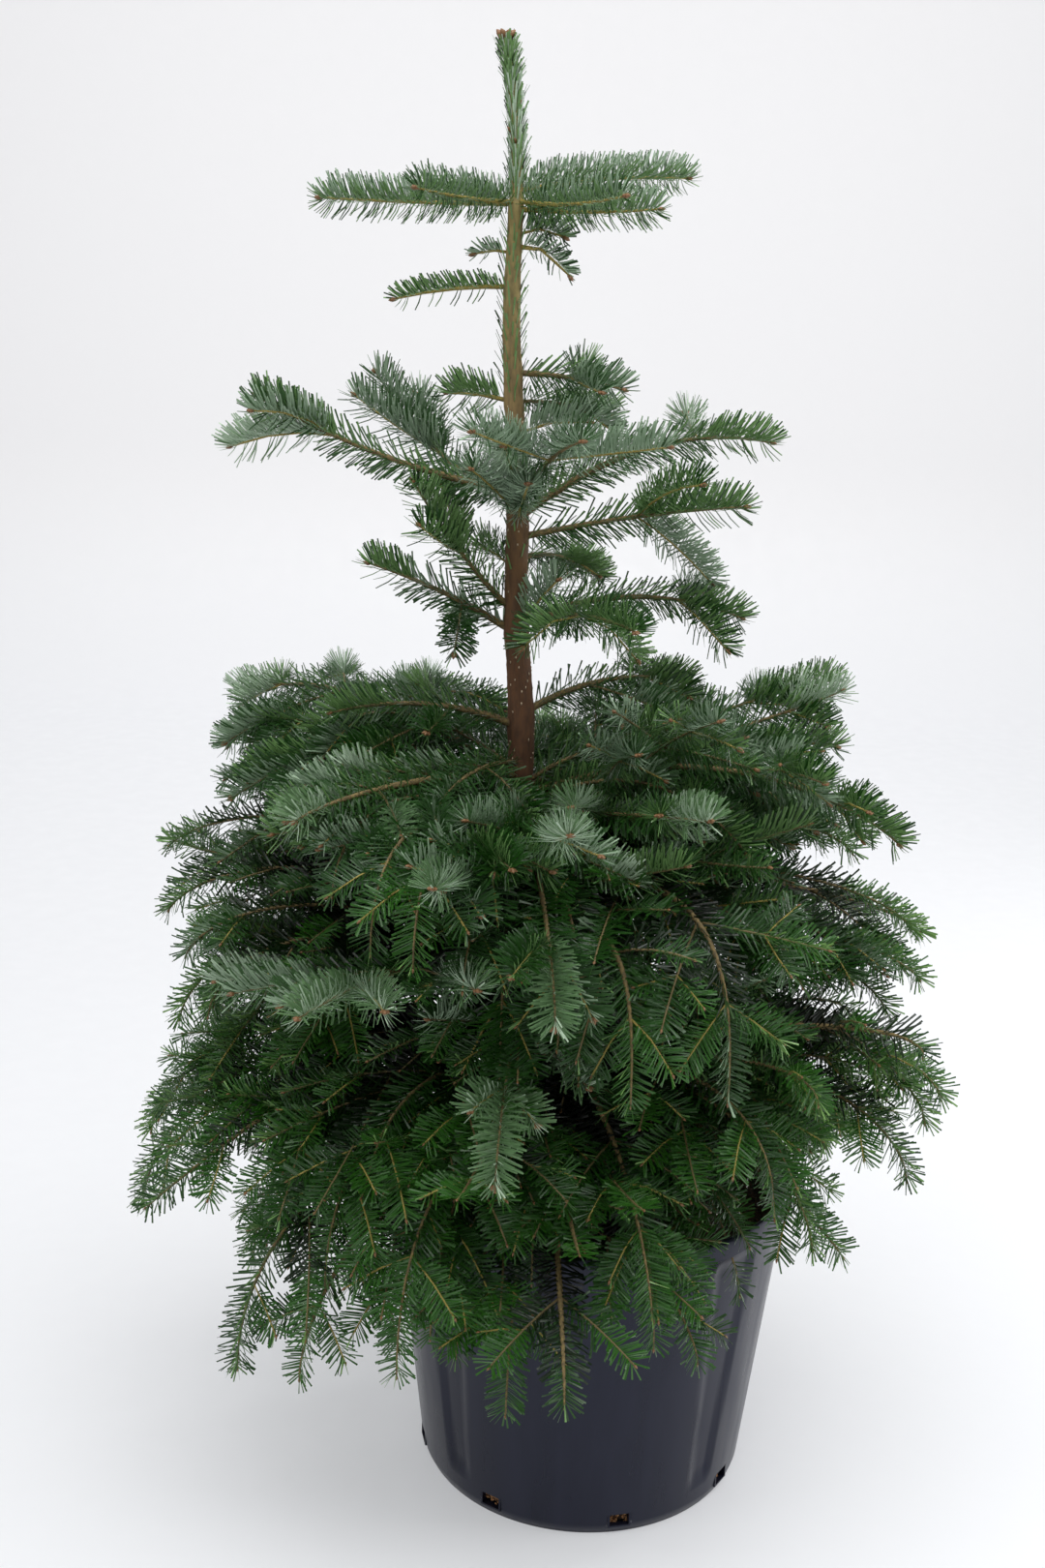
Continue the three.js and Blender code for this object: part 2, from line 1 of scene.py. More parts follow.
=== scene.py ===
"""A nordmann fir in its nursery pot: bark, twigs, needles and buds grown by the source's own rule.

The growth rule works in millimetres, as the source does. Meshes are made in metres.
"""

import json
import math
from collections import namedtuple

import bpy
import numpy as np
from mathutils import Matrix, Vector


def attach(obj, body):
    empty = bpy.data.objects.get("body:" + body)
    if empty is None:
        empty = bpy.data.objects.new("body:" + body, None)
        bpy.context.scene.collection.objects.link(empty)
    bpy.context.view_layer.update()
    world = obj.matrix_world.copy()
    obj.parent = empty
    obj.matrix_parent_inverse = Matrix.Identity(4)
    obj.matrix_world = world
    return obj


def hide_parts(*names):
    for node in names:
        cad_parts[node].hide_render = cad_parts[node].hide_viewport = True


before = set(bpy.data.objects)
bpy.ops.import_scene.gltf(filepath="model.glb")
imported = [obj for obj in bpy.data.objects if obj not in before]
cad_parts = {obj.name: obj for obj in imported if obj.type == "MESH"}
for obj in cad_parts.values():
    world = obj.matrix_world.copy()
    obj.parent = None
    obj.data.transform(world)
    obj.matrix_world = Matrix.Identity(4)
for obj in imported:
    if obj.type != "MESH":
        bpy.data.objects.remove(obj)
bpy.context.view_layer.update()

MM = 0.001
BODY = "root"

# Camera, in metres, at the photograph's viewing angle
CAMERA_PLACE = (-0.0684, -1.4313, 1.0246)
CAMERA_DOWN = math.radians(15.81)
CAMERA_ROLL = math.radians(1.54)
FOCAL_LENGTH_PIXELS = 1850
FRAME_HEIGHT_PIXELS = 1620
SENSOR_SIZE = 36

# Pot and compost, in millimetres
POT_HEIGHT = 282
POT_FOOT_RADIUS = 141
POT_BASE_RADIUS = 144
POT_SHOULDER_RADIUS = 174
POT_RIM_RADIUS = 178.4
POT_RIM_DEPTH = 18
POT_WALL = 3
POT_FLOOR = 8
POT_STEPS_ROUND = 240
FLUTE_COUNT = 4
FLUTE_FIRST_ANGLE = -137
FLUTE_WIDTH = 15
FLUTE_DEPTH = 3.2
DRAIN_COUNT = 8
DRAIN_FIRST_ANGLE = -123
DRAIN_HALF_WIDTH = 9
DRAIN_LOW = 9
DRAIN_HIGH = 21
SOIL_HEIGHT = 262
SOIL_EDGE_HEIGHT = 255
SOIL_FLAT_RADIUS = 95
SOIL_STEPS_ROUND = 96
SOIL_RINGS = 26
CRUMBS_IN_HOLE = 26

# Trunk, in millimetres
TRUNK_FOOT_X = -50
TRUNK_LEAN = -47
TRUNK_SWAYS = (-3.2, -5.1, 0.7, 1.8, 6.6, 4.1, 4.3)
TRUNK_BOW = 4
TRUNK_TIP_RADIUS = 2.2
TRUNK_FOOT_RADIUS = 14.5
TRUNK_TAPER = 0.64
LEADER_FOOT = 1072
LEADER_STEP = 16
LEADER_THINNING = 0.18
FLARE_RADIUS = 8
FLARE_HEIGHT = 22
TRUNK_TOP = 1196
CROWN_TOP = 1200

# Growth rule, as in the source
SEED = 1000
SEED_STEP = 77
YEAR_FADE = 0.12
FORK_SPREAD = 14
SHORTEST_SHOOT = 30
FORWARD_CURVE = 0.1
MOST_ORDERS = 3

# Needles, in millimetres
NEEDLE_LENGTH = 26
NEEDLE_WIDTH = 2.0
NEEDLE_THICKNESS = 0.5
FEWEST_NEEDLES = 6
# Round a shoot or a stem
GOLDEN_SHARE = 0.618
GOLDEN_SHARE_HALF = 0.31
GOLDEN_ANGLE = 2.39996
HANGING_ANGLES = (130, 178)
# Needles close over a shoot's tip and are short at its foot within about these lengths
CLOSING_LENGTH = 5
SHORT_FOOT = 7
MOST_TRIANGLES = 194000

# Above this height the crown is open, and its shoots turn up
CROWN_SHOULDER = 600

# Masses whose newest shoots turn up, pale, out of the lower crown
PALE_MASSES = (
    "lower_front_left", "lower_front", "lower_front_right",
    "lower_left_back", "lower_right_back", "wide_front_left",
)

# A bough's row has at least this many values, and those that it leaves out at its end are plain
FEWEST_VALUES = 8
PLAIN_VALUES = (0.6, 52, 20, 0.15, 0, 1)


def rows_of(table):
    """A name and its numbers from each line of a table."""
    rows = []
    for line in table.strip().splitlines():
        name, *words = line.split()
        row = (name, *map(json.loads, words))
        rows.append(row + PLAIN_VALUES[len(row) - FEWEST_VALUES:])
    return rows


# Each bough: name, foot height, azimuth (0 is +X, -90 the viewer), reach, lift, arch, hang,
# years of growth, the side shoots' length as a share of what lies beyond, their angle, roll and
# sag, the share that is a bare limb, and the first year that forks. A bough of one year has none.
BOUGHS = rows_of("""
top_left 1078 176 150 1 -1 1 1
top_front_left 1079 -131 107 5 -2 1 1
top_front_right 1080 -46 112 2 -4 1 1
top_right 1074 -11 109 2 -2 1 1
top_back_right 1087 32 160 17 4 1 1
twig_right 1047 -17 44 -20 8 1 1
twig_left 1017 190 90 -11 3 1 1
upper_right 952 -1 85 -10 3 1 2 1.15 70 -10 -0.03
upper_left 930 170 52 5 2 1 1
second_left 860 191 203 71 -10 1 3 1.24 20 -37 0.45 0.26 2
second_left_back 857 146 144 88 -20 1 2 0.85 38 -2 -0.1 0.3
second_front 851 -76 186 65 9 1 2 1.3 48 4 0.02 0.3
second_right 838 6 202 64 25 1 3 0.86 94 -15 -0.08 0.26 2
mid_right 823 -4 179 31 4 1 2 1.05 57 41 0.2
mid_left_high 761 194 85 105 -7 1 2 0.9 38 33 -0.09
mid_left_low 745 183 119 55 5 1 3 0.64 93 4 0.64
mid_front_right 757 -65 201 27 10 1.2 2 0.6 95 10 0.59
mid_right_low 753 12 190 3 20 1 3 1.08 58 -18 0.35 0 2
mid_back_right 806 60 144 -35 11 1 2 0.55 24 6 0.34
third_left 667 190 155 15 13 1 3 0.56 66 9 0.13
third_right 678 28 163 13 16 1 3 0.93 70 -6 0.13
lower_left_back 617 151 291 40 35 1.1 4 0.86 59 11 0.28 0.3
lower_front_left 627 -128 259 17 13 1.3 4 0.72 64 11 0.27 0.25
lower_front 604 -84 300 -73 26 1.4 3 0.82 49 37 0.25 0.25
lower_front_right 584 -49 220 58 -1 0.9 4 0.63 68 27 0.28
lower_right 605 -22 317 8 44 1.1 4 0.82 54 36 0.17 0.25
lower_right_back 603 14 284 86 1 1.1 4 0.86 59 -20 0.17
lower_back 600 85 262 8 18 1.2 4 0.77 57 0 0.16
wide_left 563 -194 310 -25 -23 1.1 4 0.86 48 33 0.28
wide_front_left 457 -117 321 70 17 0.9 4 0.86 55 -12 0.07
wide_front 492 -86 265 -42 -26 0.9 4 0.5 68 -5 0.18
wide_front_right 519 -51 274 -83 97 2.2 4 0.74 55 -15 -0.03
wide_right 559 6 363 -77 8 1.5 4 0.83 48 1 0.27
wide_back_right 525 42 300 -20 60 1.3 4 0.77 57 0
wide_back_left 528 128 290 -10 60 1.3 4 0.77 57 0
deep_left 432 -152 332 -127 25 1 4 0.82 52 6 0.04
deep_front_left 396 -82 257 -66 -19 1.5 4 0.76 61 -11 -0.05
deep_front_right 465 -70 266 -15 99 2.2 4 0.61 52 -48 0.28
deep_right 378 -31 338 84 42 1.8 4 0.82 52 50 0.24
deep_back 432 82 300 -90 60 1.4 4 0.77 57 0 0.17
deep_back_left 442 150 320 -110 60 1.4 4 0.7 57 0 0.17
foot_front_left 340 -133 280 -154 42 1.6 4 0.82 61 40 0.12
foot_front 399 -100 304 -1 -16 1.1 4 0.75 55 -4 0.28
foot_low_front 342 -87 292 -114 -1 1.7 4 0.86 53 0 0.09
foot_front_right 396 -68 250 -130 54 1.3 4 0.6 57 2 0.27
foot_right 363 -30 282 -94 32 1.1 4 0.86 63 -38 -0.04
foot_back_right 350 25 300 -110 50 1.5 4 0.75 57 0 0.17
foot_back 345 108 290 -120 50 1.5 4 0.77 57 0 0.17
""")

# Companion boughs of the lower crown: turn in degrees, climb in millimetres, share of the reach, years
LOWEST_BARE_TRUNK = 640
COMPANIONS = ((-17, -13, 0.78, 3), (16, 10, 0.64, 3), (31, -24, 0.84, 3))

# Small twigs that the source leaves out: the same values, and the mass that each belongs to
SMALL_TWIGS = rows_of("""
top_right 1055 -4 37 0 5 1 1
twig_left 1042 175 29 -1 2 1 1
upper_right 930 50 123 -15 4 1 2 0.77 43 -11 0.31
mid_left_high 797 129 52 14 2 1 1
foot_front_left 350 -112 232 -118 60 1.6 3 0.7 57 0 0.35
foot_low_front 345 -69 238 -112 66 1.7 3 0.7 57 0 0.35
deep_right 410 -20 352 -9 40 1.5 4 0.72 54
deep_right 380 -26 327 -40 50 1.6 3 0.7 56 -10 0.2
wide_right 500 -9 348 -24 30 1.3 3 0.7 52 10 0.2
wide_left 530 171 296 12 40 1.2 4
wide_left 490 -175 282 19 45 1.3 4 0.6 54 -10
wide_left 470 -162 273 22 45 1.4 3 0.66 54 0
wide_front_left 440 -158 268 7 60 1.5 4 0.7 54 0
deep_left 400 177 338 -117 60 1.4 4 0.66 54 10
deep_left 390 -168 337 -129 60 1.6 4 0.62 54 20 0.1
foot_front_left 345 -140 313 -153 60 1.8 4 0.66 54 20 0.12
foot_front_left 350 -153 267 -109 60 1.8 4 0.66 54 0 0.12
foot_front_left 335 -114 274 -113 70 2 3 0.6 54 0 0.12
foot_right 380 -36 272 -95 50 1.5 3 0.7 54 0
foot_right 370 -49 269 -19 60 1.7 3 0.75 54 0 0.2
lower_right_back 606 23 301 83 10 1 3 0.7 50 0 0.2
lower_right_back 590 8 273 58 24 1.1 3 0.7 52 10 0.25
lower_left_back 590 163 267 3 30 1.1 3 0.7 54 0 0.2
second_front 842 -108 109 45 2 1 1
second_front 838 -85 94 38 0 1 1
second_front 850 -94 134 57 6 1 1
upper_right 905 -14 57 12 4 1 1
mid_front_right 745 -38 39 48 4 1 1
wide_left 520 174 252 1 40 1.2 3
wide_left 450 -169 283 -26 60 1.4 3
lower_left_back 600 159 274 19 40 1.2 3
wide_right 540 -4 340 -32 30 1.4 3
wide_right 480 -11 320 -30 40 1.4 3
lower_right 580 -11 280 4 30 1.3 3
deep_right 400 -21 338 -20 50 1.6 3
foot_right 400 -31 272 -34 50 1.6 3
lower_front_left 570 -121 190 12 50 1.4 3 0.7 54 0
lower_front_left 575 -124 232 9 60 1.6 3 0.7 54 0 0.2
wide_front_left 540 -111 260 19 80 1.8 3 0.75 54 0 0.2
wide_front_left 530 -103 270 27 80 1.8 3 0.75 54 0 0.2
wide_back_left 560 138 143 -65 20 1 3 0.8 57 0
wide_back_left 470 122 138 -98 40 1 3 0.8 57 0
deep_back_left 420 133 133 -118 40 1 3 0.8 57 0
foot_front_left 350 -125 247 -38 80 1.8 3 0.75 54 0 0.2
foot_front_left 350 -130 264 -85 80 1.8 3 0.75 54 0 0.2
""")

# Small boughs whose newest shoots turn up, pale, out of the lower crown
PALE_TWIGS = rows_of("""
lower_right 590 -57 256 65 10 1.3 3 0.62 50 20 0.1
lower_front 560 -82 303 108 10 1.2 3 0.5 50 20 0.1
wide_front 530 -99 293 95 10 1.1 3 0.6 50 30 0.1
lower_front_left 590 -132 246 47 20 1.2 3 0.5 50 20 0.1
foot_front 400 -95 300 10 60 1.3 3 0.5 50 20 0.1
""")

# Small boughs that fill the far side of the lower crown
BACK_TWIGS = rows_of("""
lower_left_back 590 127 239 30 14 1 3 0.6 52 0 0.1
lower_back 545 68 235 5 22 1.1 4 0.75 57 0 0.12
lower_back 548 106 235 0 22 1.1 4 0.75 57 0 0.12
wide_back_left 500 118 240 0 30 1.2 4 0.75 57 0
wide_back_right 500 62 245 0 30 1.2 3 0.75 57 0
""")

# Places between the boughs that stay open: no side shoot ends this near to them
OPEN_REACH = 16
OPEN_PLACES = np.array([
    (68, -27, 896), (-49, 94, 695), (-16, 115, 699), (-188, 189, 652), (-201, 169, 667), (125, 129, 677),
    (87, 114, 673), (-172, 174, 599), (-106, 184, 612), (-141, 180, 602), (209, -103, 319), (-381, 51, 319),
    (-389, -37, 305), (-333, -152, 286), (-297, -172, 276), (-306, -131, 311), (-304, -178, 241),
    (-135, 128, 616), (-111, 158, 615), (225, 11, 520), (227, -48, 541), (9, -62, 689),
])


def companions():
    """Boughs beside those of the lower crown that fill it, each shorter than the one it stands by."""
    rng = np.random.default_rng(SEED + 4)
    rows = []
    for name, foot_height, azimuth, reach, lift, arch, hang, _years, *forks in BOUGHS:
        if foot_height > LOWEST_BARE_TRUNK:
            continue
        for turn, climb, share, years in COMPANIONS:
            length = reach * share * rng.uniform(0.88, 1.08)
            rise = lift * share + rng.uniform(-34, 12)
            values = (foot_height + climb, azimuth + turn + rng.uniform(-7, 7), length, rise, arch, hang)
            rows.append((name, *values, years, *forks))
    return rows


ROWS = BOUGHS + SMALL_TWIGS + companions() + PALE_TWIGS + BACK_TWIGS
PALE_ROWS = {
    number for number, row in enumerate(ROWS)
    if row in PALE_TWIGS or row in BOUGHS and row[0] in PALE_MASSES
}


# Camera

def put(name, data):
    """A new object in the scene."""
    item = bpy.data.objects.new(name, data)
    bpy.context.scene.collection.objects.link(item)
    return item


def make_camera():
    camera = put("camera", bpy.data.cameras.new("camera"))
    camera.data.sensor_width = SENSOR_SIZE
    camera.data.lens = FOCAL_LENGTH_PIXELS / FRAME_HEIGHT_PIXELS * SENSOR_SIZE
    tilt = Matrix.Rotation(math.pi / 2 - CAMERA_DOWN, 4, "X")
    camera.matrix_world = Matrix.Translation(CAMERA_PLACE) @ tilt @ Matrix.Rotation(CAMERA_ROLL, 4, "Z")
    bpy.context.scene.camera = camera


# Materials

def linear(red, green, blue):
    """A colour named by its sRGB values from 0 to 255."""
    parts = [value / 255 for value in (red, green, blue)]
    return tuple(v / 12.92 if v <= 0.04045 else ((v + 0.055) / 1.055) ** 2.4 for v in parts) + (1,)


def fill(node, **values):
    """Sets a shader node's inputs, whose names have a space for each _ here."""
    for name, value in values.items():
        node.inputs[name.replace("_", " ")].default_value = value
    return node


class Look:
    """A material on the Principled shader, whose nodes its methods add."""

    def __init__(self, name, colour, roughness, **inputs):
        self.material = bpy.data.materials.new(name)
        self.material.use_nodes = True
        self.nodes = self.material.node_tree.nodes
        inputs.update(Base_Color=linear(*colour), Roughness=roughness)
        self.shader = fill(self.nodes["Principled BSDF"], **inputs)
        self.place = self.nodes.new("ShaderNodeTexCoord").outputs["Object"]

    def link(self, source, target):
        self.material.node_tree.links.new(source, target)

    def node(self, kind, source, target, **values):
        """A new node with a source linked to one of its inputs."""
        node = fill(self.nodes.new("ShaderNode" + kind), **values)
        self.link(source, node.inputs[target])
        return node

    def noise(self, scale, stretch=(1, 1, 1), detail=3):
        """Noise in the object's own place, stretched along an axis by a number under 1."""
        mapping = self.node("Mapping", self.place, "Vector", Scale=stretch)
        noise = self.node("TexNoise", mapping.outputs["Vector"], "Vector", Scale=scale, Detail=detail)
        return noise.outputs["Fac"]

    def height(self):
        """The height above the floor, in metres."""
        return self.node("SeparateXYZ", self.place, "Vector").outputs["Z"]

    def ramp(self, factor, *stops):
        ramp = self.node("ValToRGB", factor, "Fac")
        elements = ramp.color_ramp.elements
        while len(elements) < len(stops):
            elements.new(0.5)
        for element, (position, colour) in zip(elements, stops):
            element.position = position
            element.color = colour
        return ramp.outputs["Color"]

    def colours(self, factor, *stops):
        """A ramp through colours named by their sRGB values."""
        return self.ramp(factor, *((position, linear(*colour)) for position, colour in stops))

    def colour(self, output):
        self.link(output, self.shader.inputs["Base Color"])
        return self

    def rough(self, factor, low, high):
        spread = self.node("MapRange", factor, "Value", From_Min=0.3, From_Max=0.7, To_Min=low, To_Max=high)
        self.link(spread.outputs["Result"], self.shader.inputs["Roughness"])
        return self

    def bump(self, factor, height, strength=1.0):
        bump = self.node("Bump", factor, "Height", Distance=height, Strength=strength)
        self.link(bump.outputs["Normal"], self.shader.inputs["Normal"])
        return self


def grain_look(name, colour, roughness, scale, rough, bump, stops=(), detail=3, strength=1.0, **inputs):
    """A look whose colour stops, roughness and bump all follow one noise."""
    look = Look(name, colour, roughness, **inputs)
    grain = look.noise(scale, detail=detail)
    if stops:
        look.colour(look.colours(grain, *stops))
    look.rough(grain, *rough).bump(grain, bump, strength)
    return look.material


def needle_look(name, colour):
    gloss = {"strength": 0.5, "Specular_IOR_Level": 0.42}
    return grain_look(name, colour, 0.35, 900, (0.27, 0.42), 0.00012, **gloss)


def twig_look(name, colour):
    return grain_look(name, colour, 0.7, 700, (0.55, 0.85), 0.0004)


def bud_look():
    return grain_look("bud_scales", (124, 88, 54), 0.5, 1100, (0.38, 0.65), 0.0004, Coat_Weight=0.1)


def bough_look():
    stops = ((0.3, (70, 58, 38)), (0.65, (126, 108, 66)))
    return grain_look("bough_bark", (108, 84, 52), 0.8, 420, (0.65, 0.9), 0.0008, stops, 6)


def lenticel_look():
    return grain_look("lenticels", (196, 178, 150), 0.9, 900, (0.8, 0.95), 0.0003)


def soil_look():
    stops = ((0.35, (30, 22, 16)), (0.55, (76, 54, 36)), (0.7, (118, 88, 58)))
    return grain_look("compost", (58, 42, 30), 1.0, 320, (0.85, 1.0), 0.003, stops, 8)


# The crumbs are paler than the compost inside the pot: painted light where the drain holes lie in shade
def painted_light_crumb_look():
    stops = ((0.3, (92, 62, 40)), (0.65, (196, 146, 98)))
    return grain_look("compost_crumbs", (150, 108, 70), 0.9, 260, (0.8, 1.0), 0.0006, stops, 4)


def bark_look():
    """Bark that is brown and rough at the foot and green at the top."""
    look = Look("trunk_bark", (92, 66, 46), 0.85)
    grain = look.noise(260, (1, 1, 0.3), 8)
    age = look.node("MapRange", look.height(), "Value", From_Min=0.26, From_Max=1.2).outputs["Result"]
    brown = ((0.0, (74, 52, 38)), (0.5, (96, 66, 44)))
    green = ((0.66, (112, 88, 58)), (0.8, (142, 128, 84)), (1.0, (158, 146, 92)))
    both = look.nodes.new("ShaderNodeMix")
    both.data_type = "RGBA"
    both.blend_type = "MULTIPLY"
    fill(both, Factor=0.75)
    look.link(look.colours(age, *brown, *green), both.inputs["A"])
    shade = look.ramp(grain, (0.3, (0.42, 0.4, 0.38, 1)), (0.62, (1.15, 1.12, 1.05, 1)))
    look.link(shade, both.inputs["B"])
    look.colour(both.outputs["Result"]).rough(grain, 0.7, 0.95).bump(grain, 0.0012)
    return look.material


def pot_look():
    tint = (0.72, 0.76, 1.0, 1)
    look = Look("pot_plastic", (22, 24, 36), 0.3, Specular_IOR_Level=0.33, Specular_Tint=tint)
    grain = look.noise(60, (1, 1, 0.12), 5)
    look.colour(look.colours(grain, (0.3, (13, 15, 27)), (0.7, (23, 25, 39))))
    look.rough(grain, 0.24, 0.38).bump(look.noise(1500, detail=2), 0.00006, 0.6)
    return look.material


# Meshes

def put_mesh(name, points, faces, looks, smooth):
    """A new object with a mesh from points in metres."""
    mesh = bpy.data.meshes.new(name)
    mesh.from_pydata(points, [], faces)
    mesh.polygons.foreach_set("use_smooth", [smooth] * len(faces))
    for look in looks:
        mesh.materials.append(look)
    return put(name, mesh)


class Piece:
    """Triangles that become one object, kept with the nodes that they stand for."""

    def __init__(self, name, slot, looks, smooth=True):
        self.name, self.slot, self.looks, self.smooth = name, slot, looks, smooth
        self.points, self.faces, self.shades = [], [], []
        self.nodes = set()
        self.count = self.triangles = 0

    def add(self, points, faces, node, shades=0):
        """Adds points in millimetres and triangles, each with the number of its look."""
        if len(faces) == 0:
            return
        self.points.append(points)
        self.faces.append(faces + self.count)
        self.shades.append(np.zeros(len(faces), dtype=np.int32) + shades)
        self.count += len(points)
        self.triangles += len(faces)
        self.nodes.add(node)

    def build(self, suffix=""):
        points = (np.concatenate(self.points) * MM).tolist()
        faces = np.concatenate(self.faces).tolist()
        piece = put_mesh(self.name + suffix, points, faces, self.looks, self.smooth)
        piece.data.polygons.foreach_set("material_index", np.concatenate(self.shades))
        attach(piece, BODY)
        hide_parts(*sorted(self.nodes))


class Foliage:
    """Needles of one colour, split into pieces that stay under the most triangles."""

    def __init__(self, name, slot, looks):
        self.kind = (name, slot, looks, False)
        self.parts = [Piece(*self.kind)]

    def add(self, points, faces, node, shades):
        if self.parts[-1].triangles + len(faces) > MOST_TRIANGLES:
            self.parts.append(Piece(*self.kind))
        self.parts[-1].add(points, faces, node, shades)

    def build(self):
        for part, letter in zip(self.parts, "abcdefgh"):
            part.build("_" + letter)


def turns(count):
    return np.linspace(0, 2 * np.pi, count, endpoint=False)


def out_and_across(turn):
    """The level ways out from the upright axis and across that, at an angle."""
    out = np.array([math.cos(turn), math.sin(turn), 0])
    return out, np.array([-out[1], out[0], 0])


def level_ring(reach, turn, height):
    """Points round the upright axis."""
    return np.stack([reach * np.cos(turn), reach * np.sin(turn), height * np.ones(len(turn))], 1)


def grid_faces(rows, columns):
    """Triangles between rows of points, each row closed round."""
    across = np.arange(columns)
    faces = [np.zeros((0, 3), dtype=int)]
    for row in range(rows - 1):
        a = row * columns + across
        b = row * columns + (across + 1) % columns
        faces += [np.stack([a, b, b + columns], 1), np.stack([a, b + columns, a + columns], 1)]
    return np.concatenate(faces)


def closed_body(points, around, low_middle, high_middle):
    """Rows of points with triangles between them, and a fan of triangles over each end."""
    first = len(points)
    rows = first // around
    column = np.arange(around)
    after = (column + 1) % around
    top = (rows - 1) * around
    low = np.stack([np.full(around, first), after, column], 1)
    high = np.stack([np.full(around, first + 1), column + top, after + top], 1)
    points = np.concatenate([points, [low_middle, high_middle]])
    return points, np.concatenate([grid_faces(rows, around), low, high])


def tube(middles, sides, ups, radii, around, relief=1.0):
    """A closed tube through the middles, with its radius times the relief at each point."""
    turn = turns(around)
    ring = np.cos(turn)[None, :, None] * sides[:, None, :] + np.sin(turn)[None, :, None] * ups[:, None, :]
    reach = np.repeat(radii[:, None], around, 1) * relief
    points = (middles[:, None, :] + ring * reach[:, :, None]).reshape(-1, 3)
    return closed_body(points, around, middles[0], middles[-1])


# Random numbers that are the same on every run, as in the source

SEED_RANGE = 2**32


class Draw:
    def __init__(self, seed):
        self.state = seed % SEED_RANGE
        self()
        self()

    def __call__(self):
        self.state = (self.state * 1664525 + 1013904223) % SEED_RANGE
        return self.state / SEED_RANGE


# Trunk line, as in the source

def trunk_share(z):
    return (z - SOIL_HEIGHT) / (CROWN_TOP - SOIL_HEIGHT)


def trunk_point(z):
    share = trunk_share(np.asarray(z, dtype=float))
    x = TRUNK_FOOT_X + TRUNK_LEAN * share
    for wave, sway in enumerate(TRUNK_SWAYS):
        x += sway * np.sin((wave + 1) * np.pi * share)
    return np.stack([x, TRUNK_BOW * np.sin(np.pi * share), np.asarray(z, dtype=float)], -1)


def trunk_radius(z):
    share = np.clip(trunk_share(z), 0, 1)
    taper = (TRUNK_FOOT_RADIUS - TRUNK_TIP_RADIUS) * (1 - share) ** TRUNK_TAPER
    thinning = 1 - LEADER_THINNING * np.clip((z - LEADER_FOOT) / LEADER_STEP, 0, 1)
    return (TRUNK_TIP_RADIUS + taper) * thinning + FLARE_RADIUS * np.exp(-(z - SOIL_HEIGHT) / FLARE_HEIGHT)


# Growth lines, as in the source: an axis is a path, its age in years, its order and its upper side

WORLD_UP = np.array([0.0, 0.0, 1.0])


def unit(vectors):
    return vectors / np.maximum(np.linalg.norm(vectors, axis=-1, keepdims=True), 1e-9)


def bough_path(foot_height, azimuth, reach, lift, arch, hang):
    foot = trunk_point(foot_height)
    way = np.array([math.cos(math.radians(azimuth)), math.sin(math.radians(azimuth)), 0])

    def path(s):
        s = np.asarray(s, dtype=float)[..., None]
        out = reach * (1 - (1 - s) ** hang)
        return foot + way * out + WORLD_UP * (lift * s + arch * 4 * s * (1 - s))

    return path


def shoot_path(base, tangent, side, length, angle, sag):
    start = tangent * math.cos(angle) + side * math.sin(angle)

    def path(s):
        s = np.asarray(s, dtype=float)[..., None]
        bend = tangent * FORWARD_CURVE - WORLD_UP * sag
        return base + start * (length * s) + bend * (length * s * s)

    return path


def year_marks(years):
    weights = np.array([1 - YEAR_FADE * year for year in range(years)])
    return np.concatenate([[0], np.cumsum(weights) / weights.sum()])


# How a bough's side shoots stand: the last values of its row
Forks = namedtuple("Forks", "spread angle roll sag bare first")


class Axis:
    def __init__(self, path, years, order, seed, up, bough, number, length=None):
        self.path, self.length = path, length
        self.years, self.order, self.seed, self.up = years, order, seed, up
        self.bough, self.number = bough, number
        self.node = "needles_" + bough
        self.is_main = number < len(BOUGHS)
        if length is None:
            self.length = self.length_between(0, 1)

    def frames(self, s):
        """Points along the axis, its way there, and the ways to its side and its upper side."""
        step = 0.01
        s = np.asarray(s, dtype=float)
        tangent = unit(self.path(np.minimum(1, s + step)) - self.path(np.maximum(0, s - step)))
        side = unit(np.cross(tangent, self.up))
        return self.path(s), tangent, side, np.cross(side, tangent)

    def length_between(self, start, end):
        points = self.path(np.linspace(start, end, 9))
        return float(np.linalg.norm(np.diff(points, axis=0), axis=1).sum())


def in_pot(points, margin):
    """Whether points in millimetres lie in the pot's wall or the compost, or nearer than a margin."""
    radius = np.hypot(points[..., 0], points[..., 1])
    height = points[..., 2]
    wall = POT_BASE_RADIUS + (POT_RIM_RADIUS - POT_BASE_RADIUS) * np.clip(height / POT_HEIGHT, 0, 1)
    in_wall = (height < POT_HEIGHT + margin) & (radius < wall + margin) & (radius > wall - 10 - margin)
    in_soil = (height < SOIL_HEIGHT + margin) & (radius < wall)
    return in_wall | in_soil


def grow(axis, forks, axes):
    axes.append(axis)
    marks = year_marks(axis.years)
    for year in range(1 if axis.order else forks.first, axis.years):
        point, tangent, side, up = axis.frames(marks[year])
        rest = axis.length_between(marks[year], 1)
        for hand in (0, 1):
            seed = (axis.seed * 31 + year * 7 + hand * 3 + axis.order * 131 + 17) % SEED_RANGE
            draw = Draw(seed)
            angle = math.radians(forks.angle + FORK_SPREAD * (draw() - 0.5))
            length = rest * (0.78 + 0.24 * draw()) * forks.spread
            droop = forks.sag * (0.6 + 0.8 * draw())
            if length < SHORTEST_SHOOT or axis.order >= MOST_ORDERS:
                continue
            roll = math.radians(forks.roll)
            rolled = side * math.cos(roll) + up * math.sin(roll)
            path = shoot_path(point, tangent, rolled if hand else -rolled, length, angle, droop)
            is_open = np.linalg.norm(OPEN_PLACES - path(1.0), axis=1).min() < OPEN_REACH
            if is_open or in_pot(path(np.linspace(0.1, 1, 8)), 2).any():
                continue
            years = axis.years - year
            shoot = Axis(path, years, axis.order + 1, seed, up, axis.bough, axis.number, length)
            grow(shoot, forks, axes)
    return axes


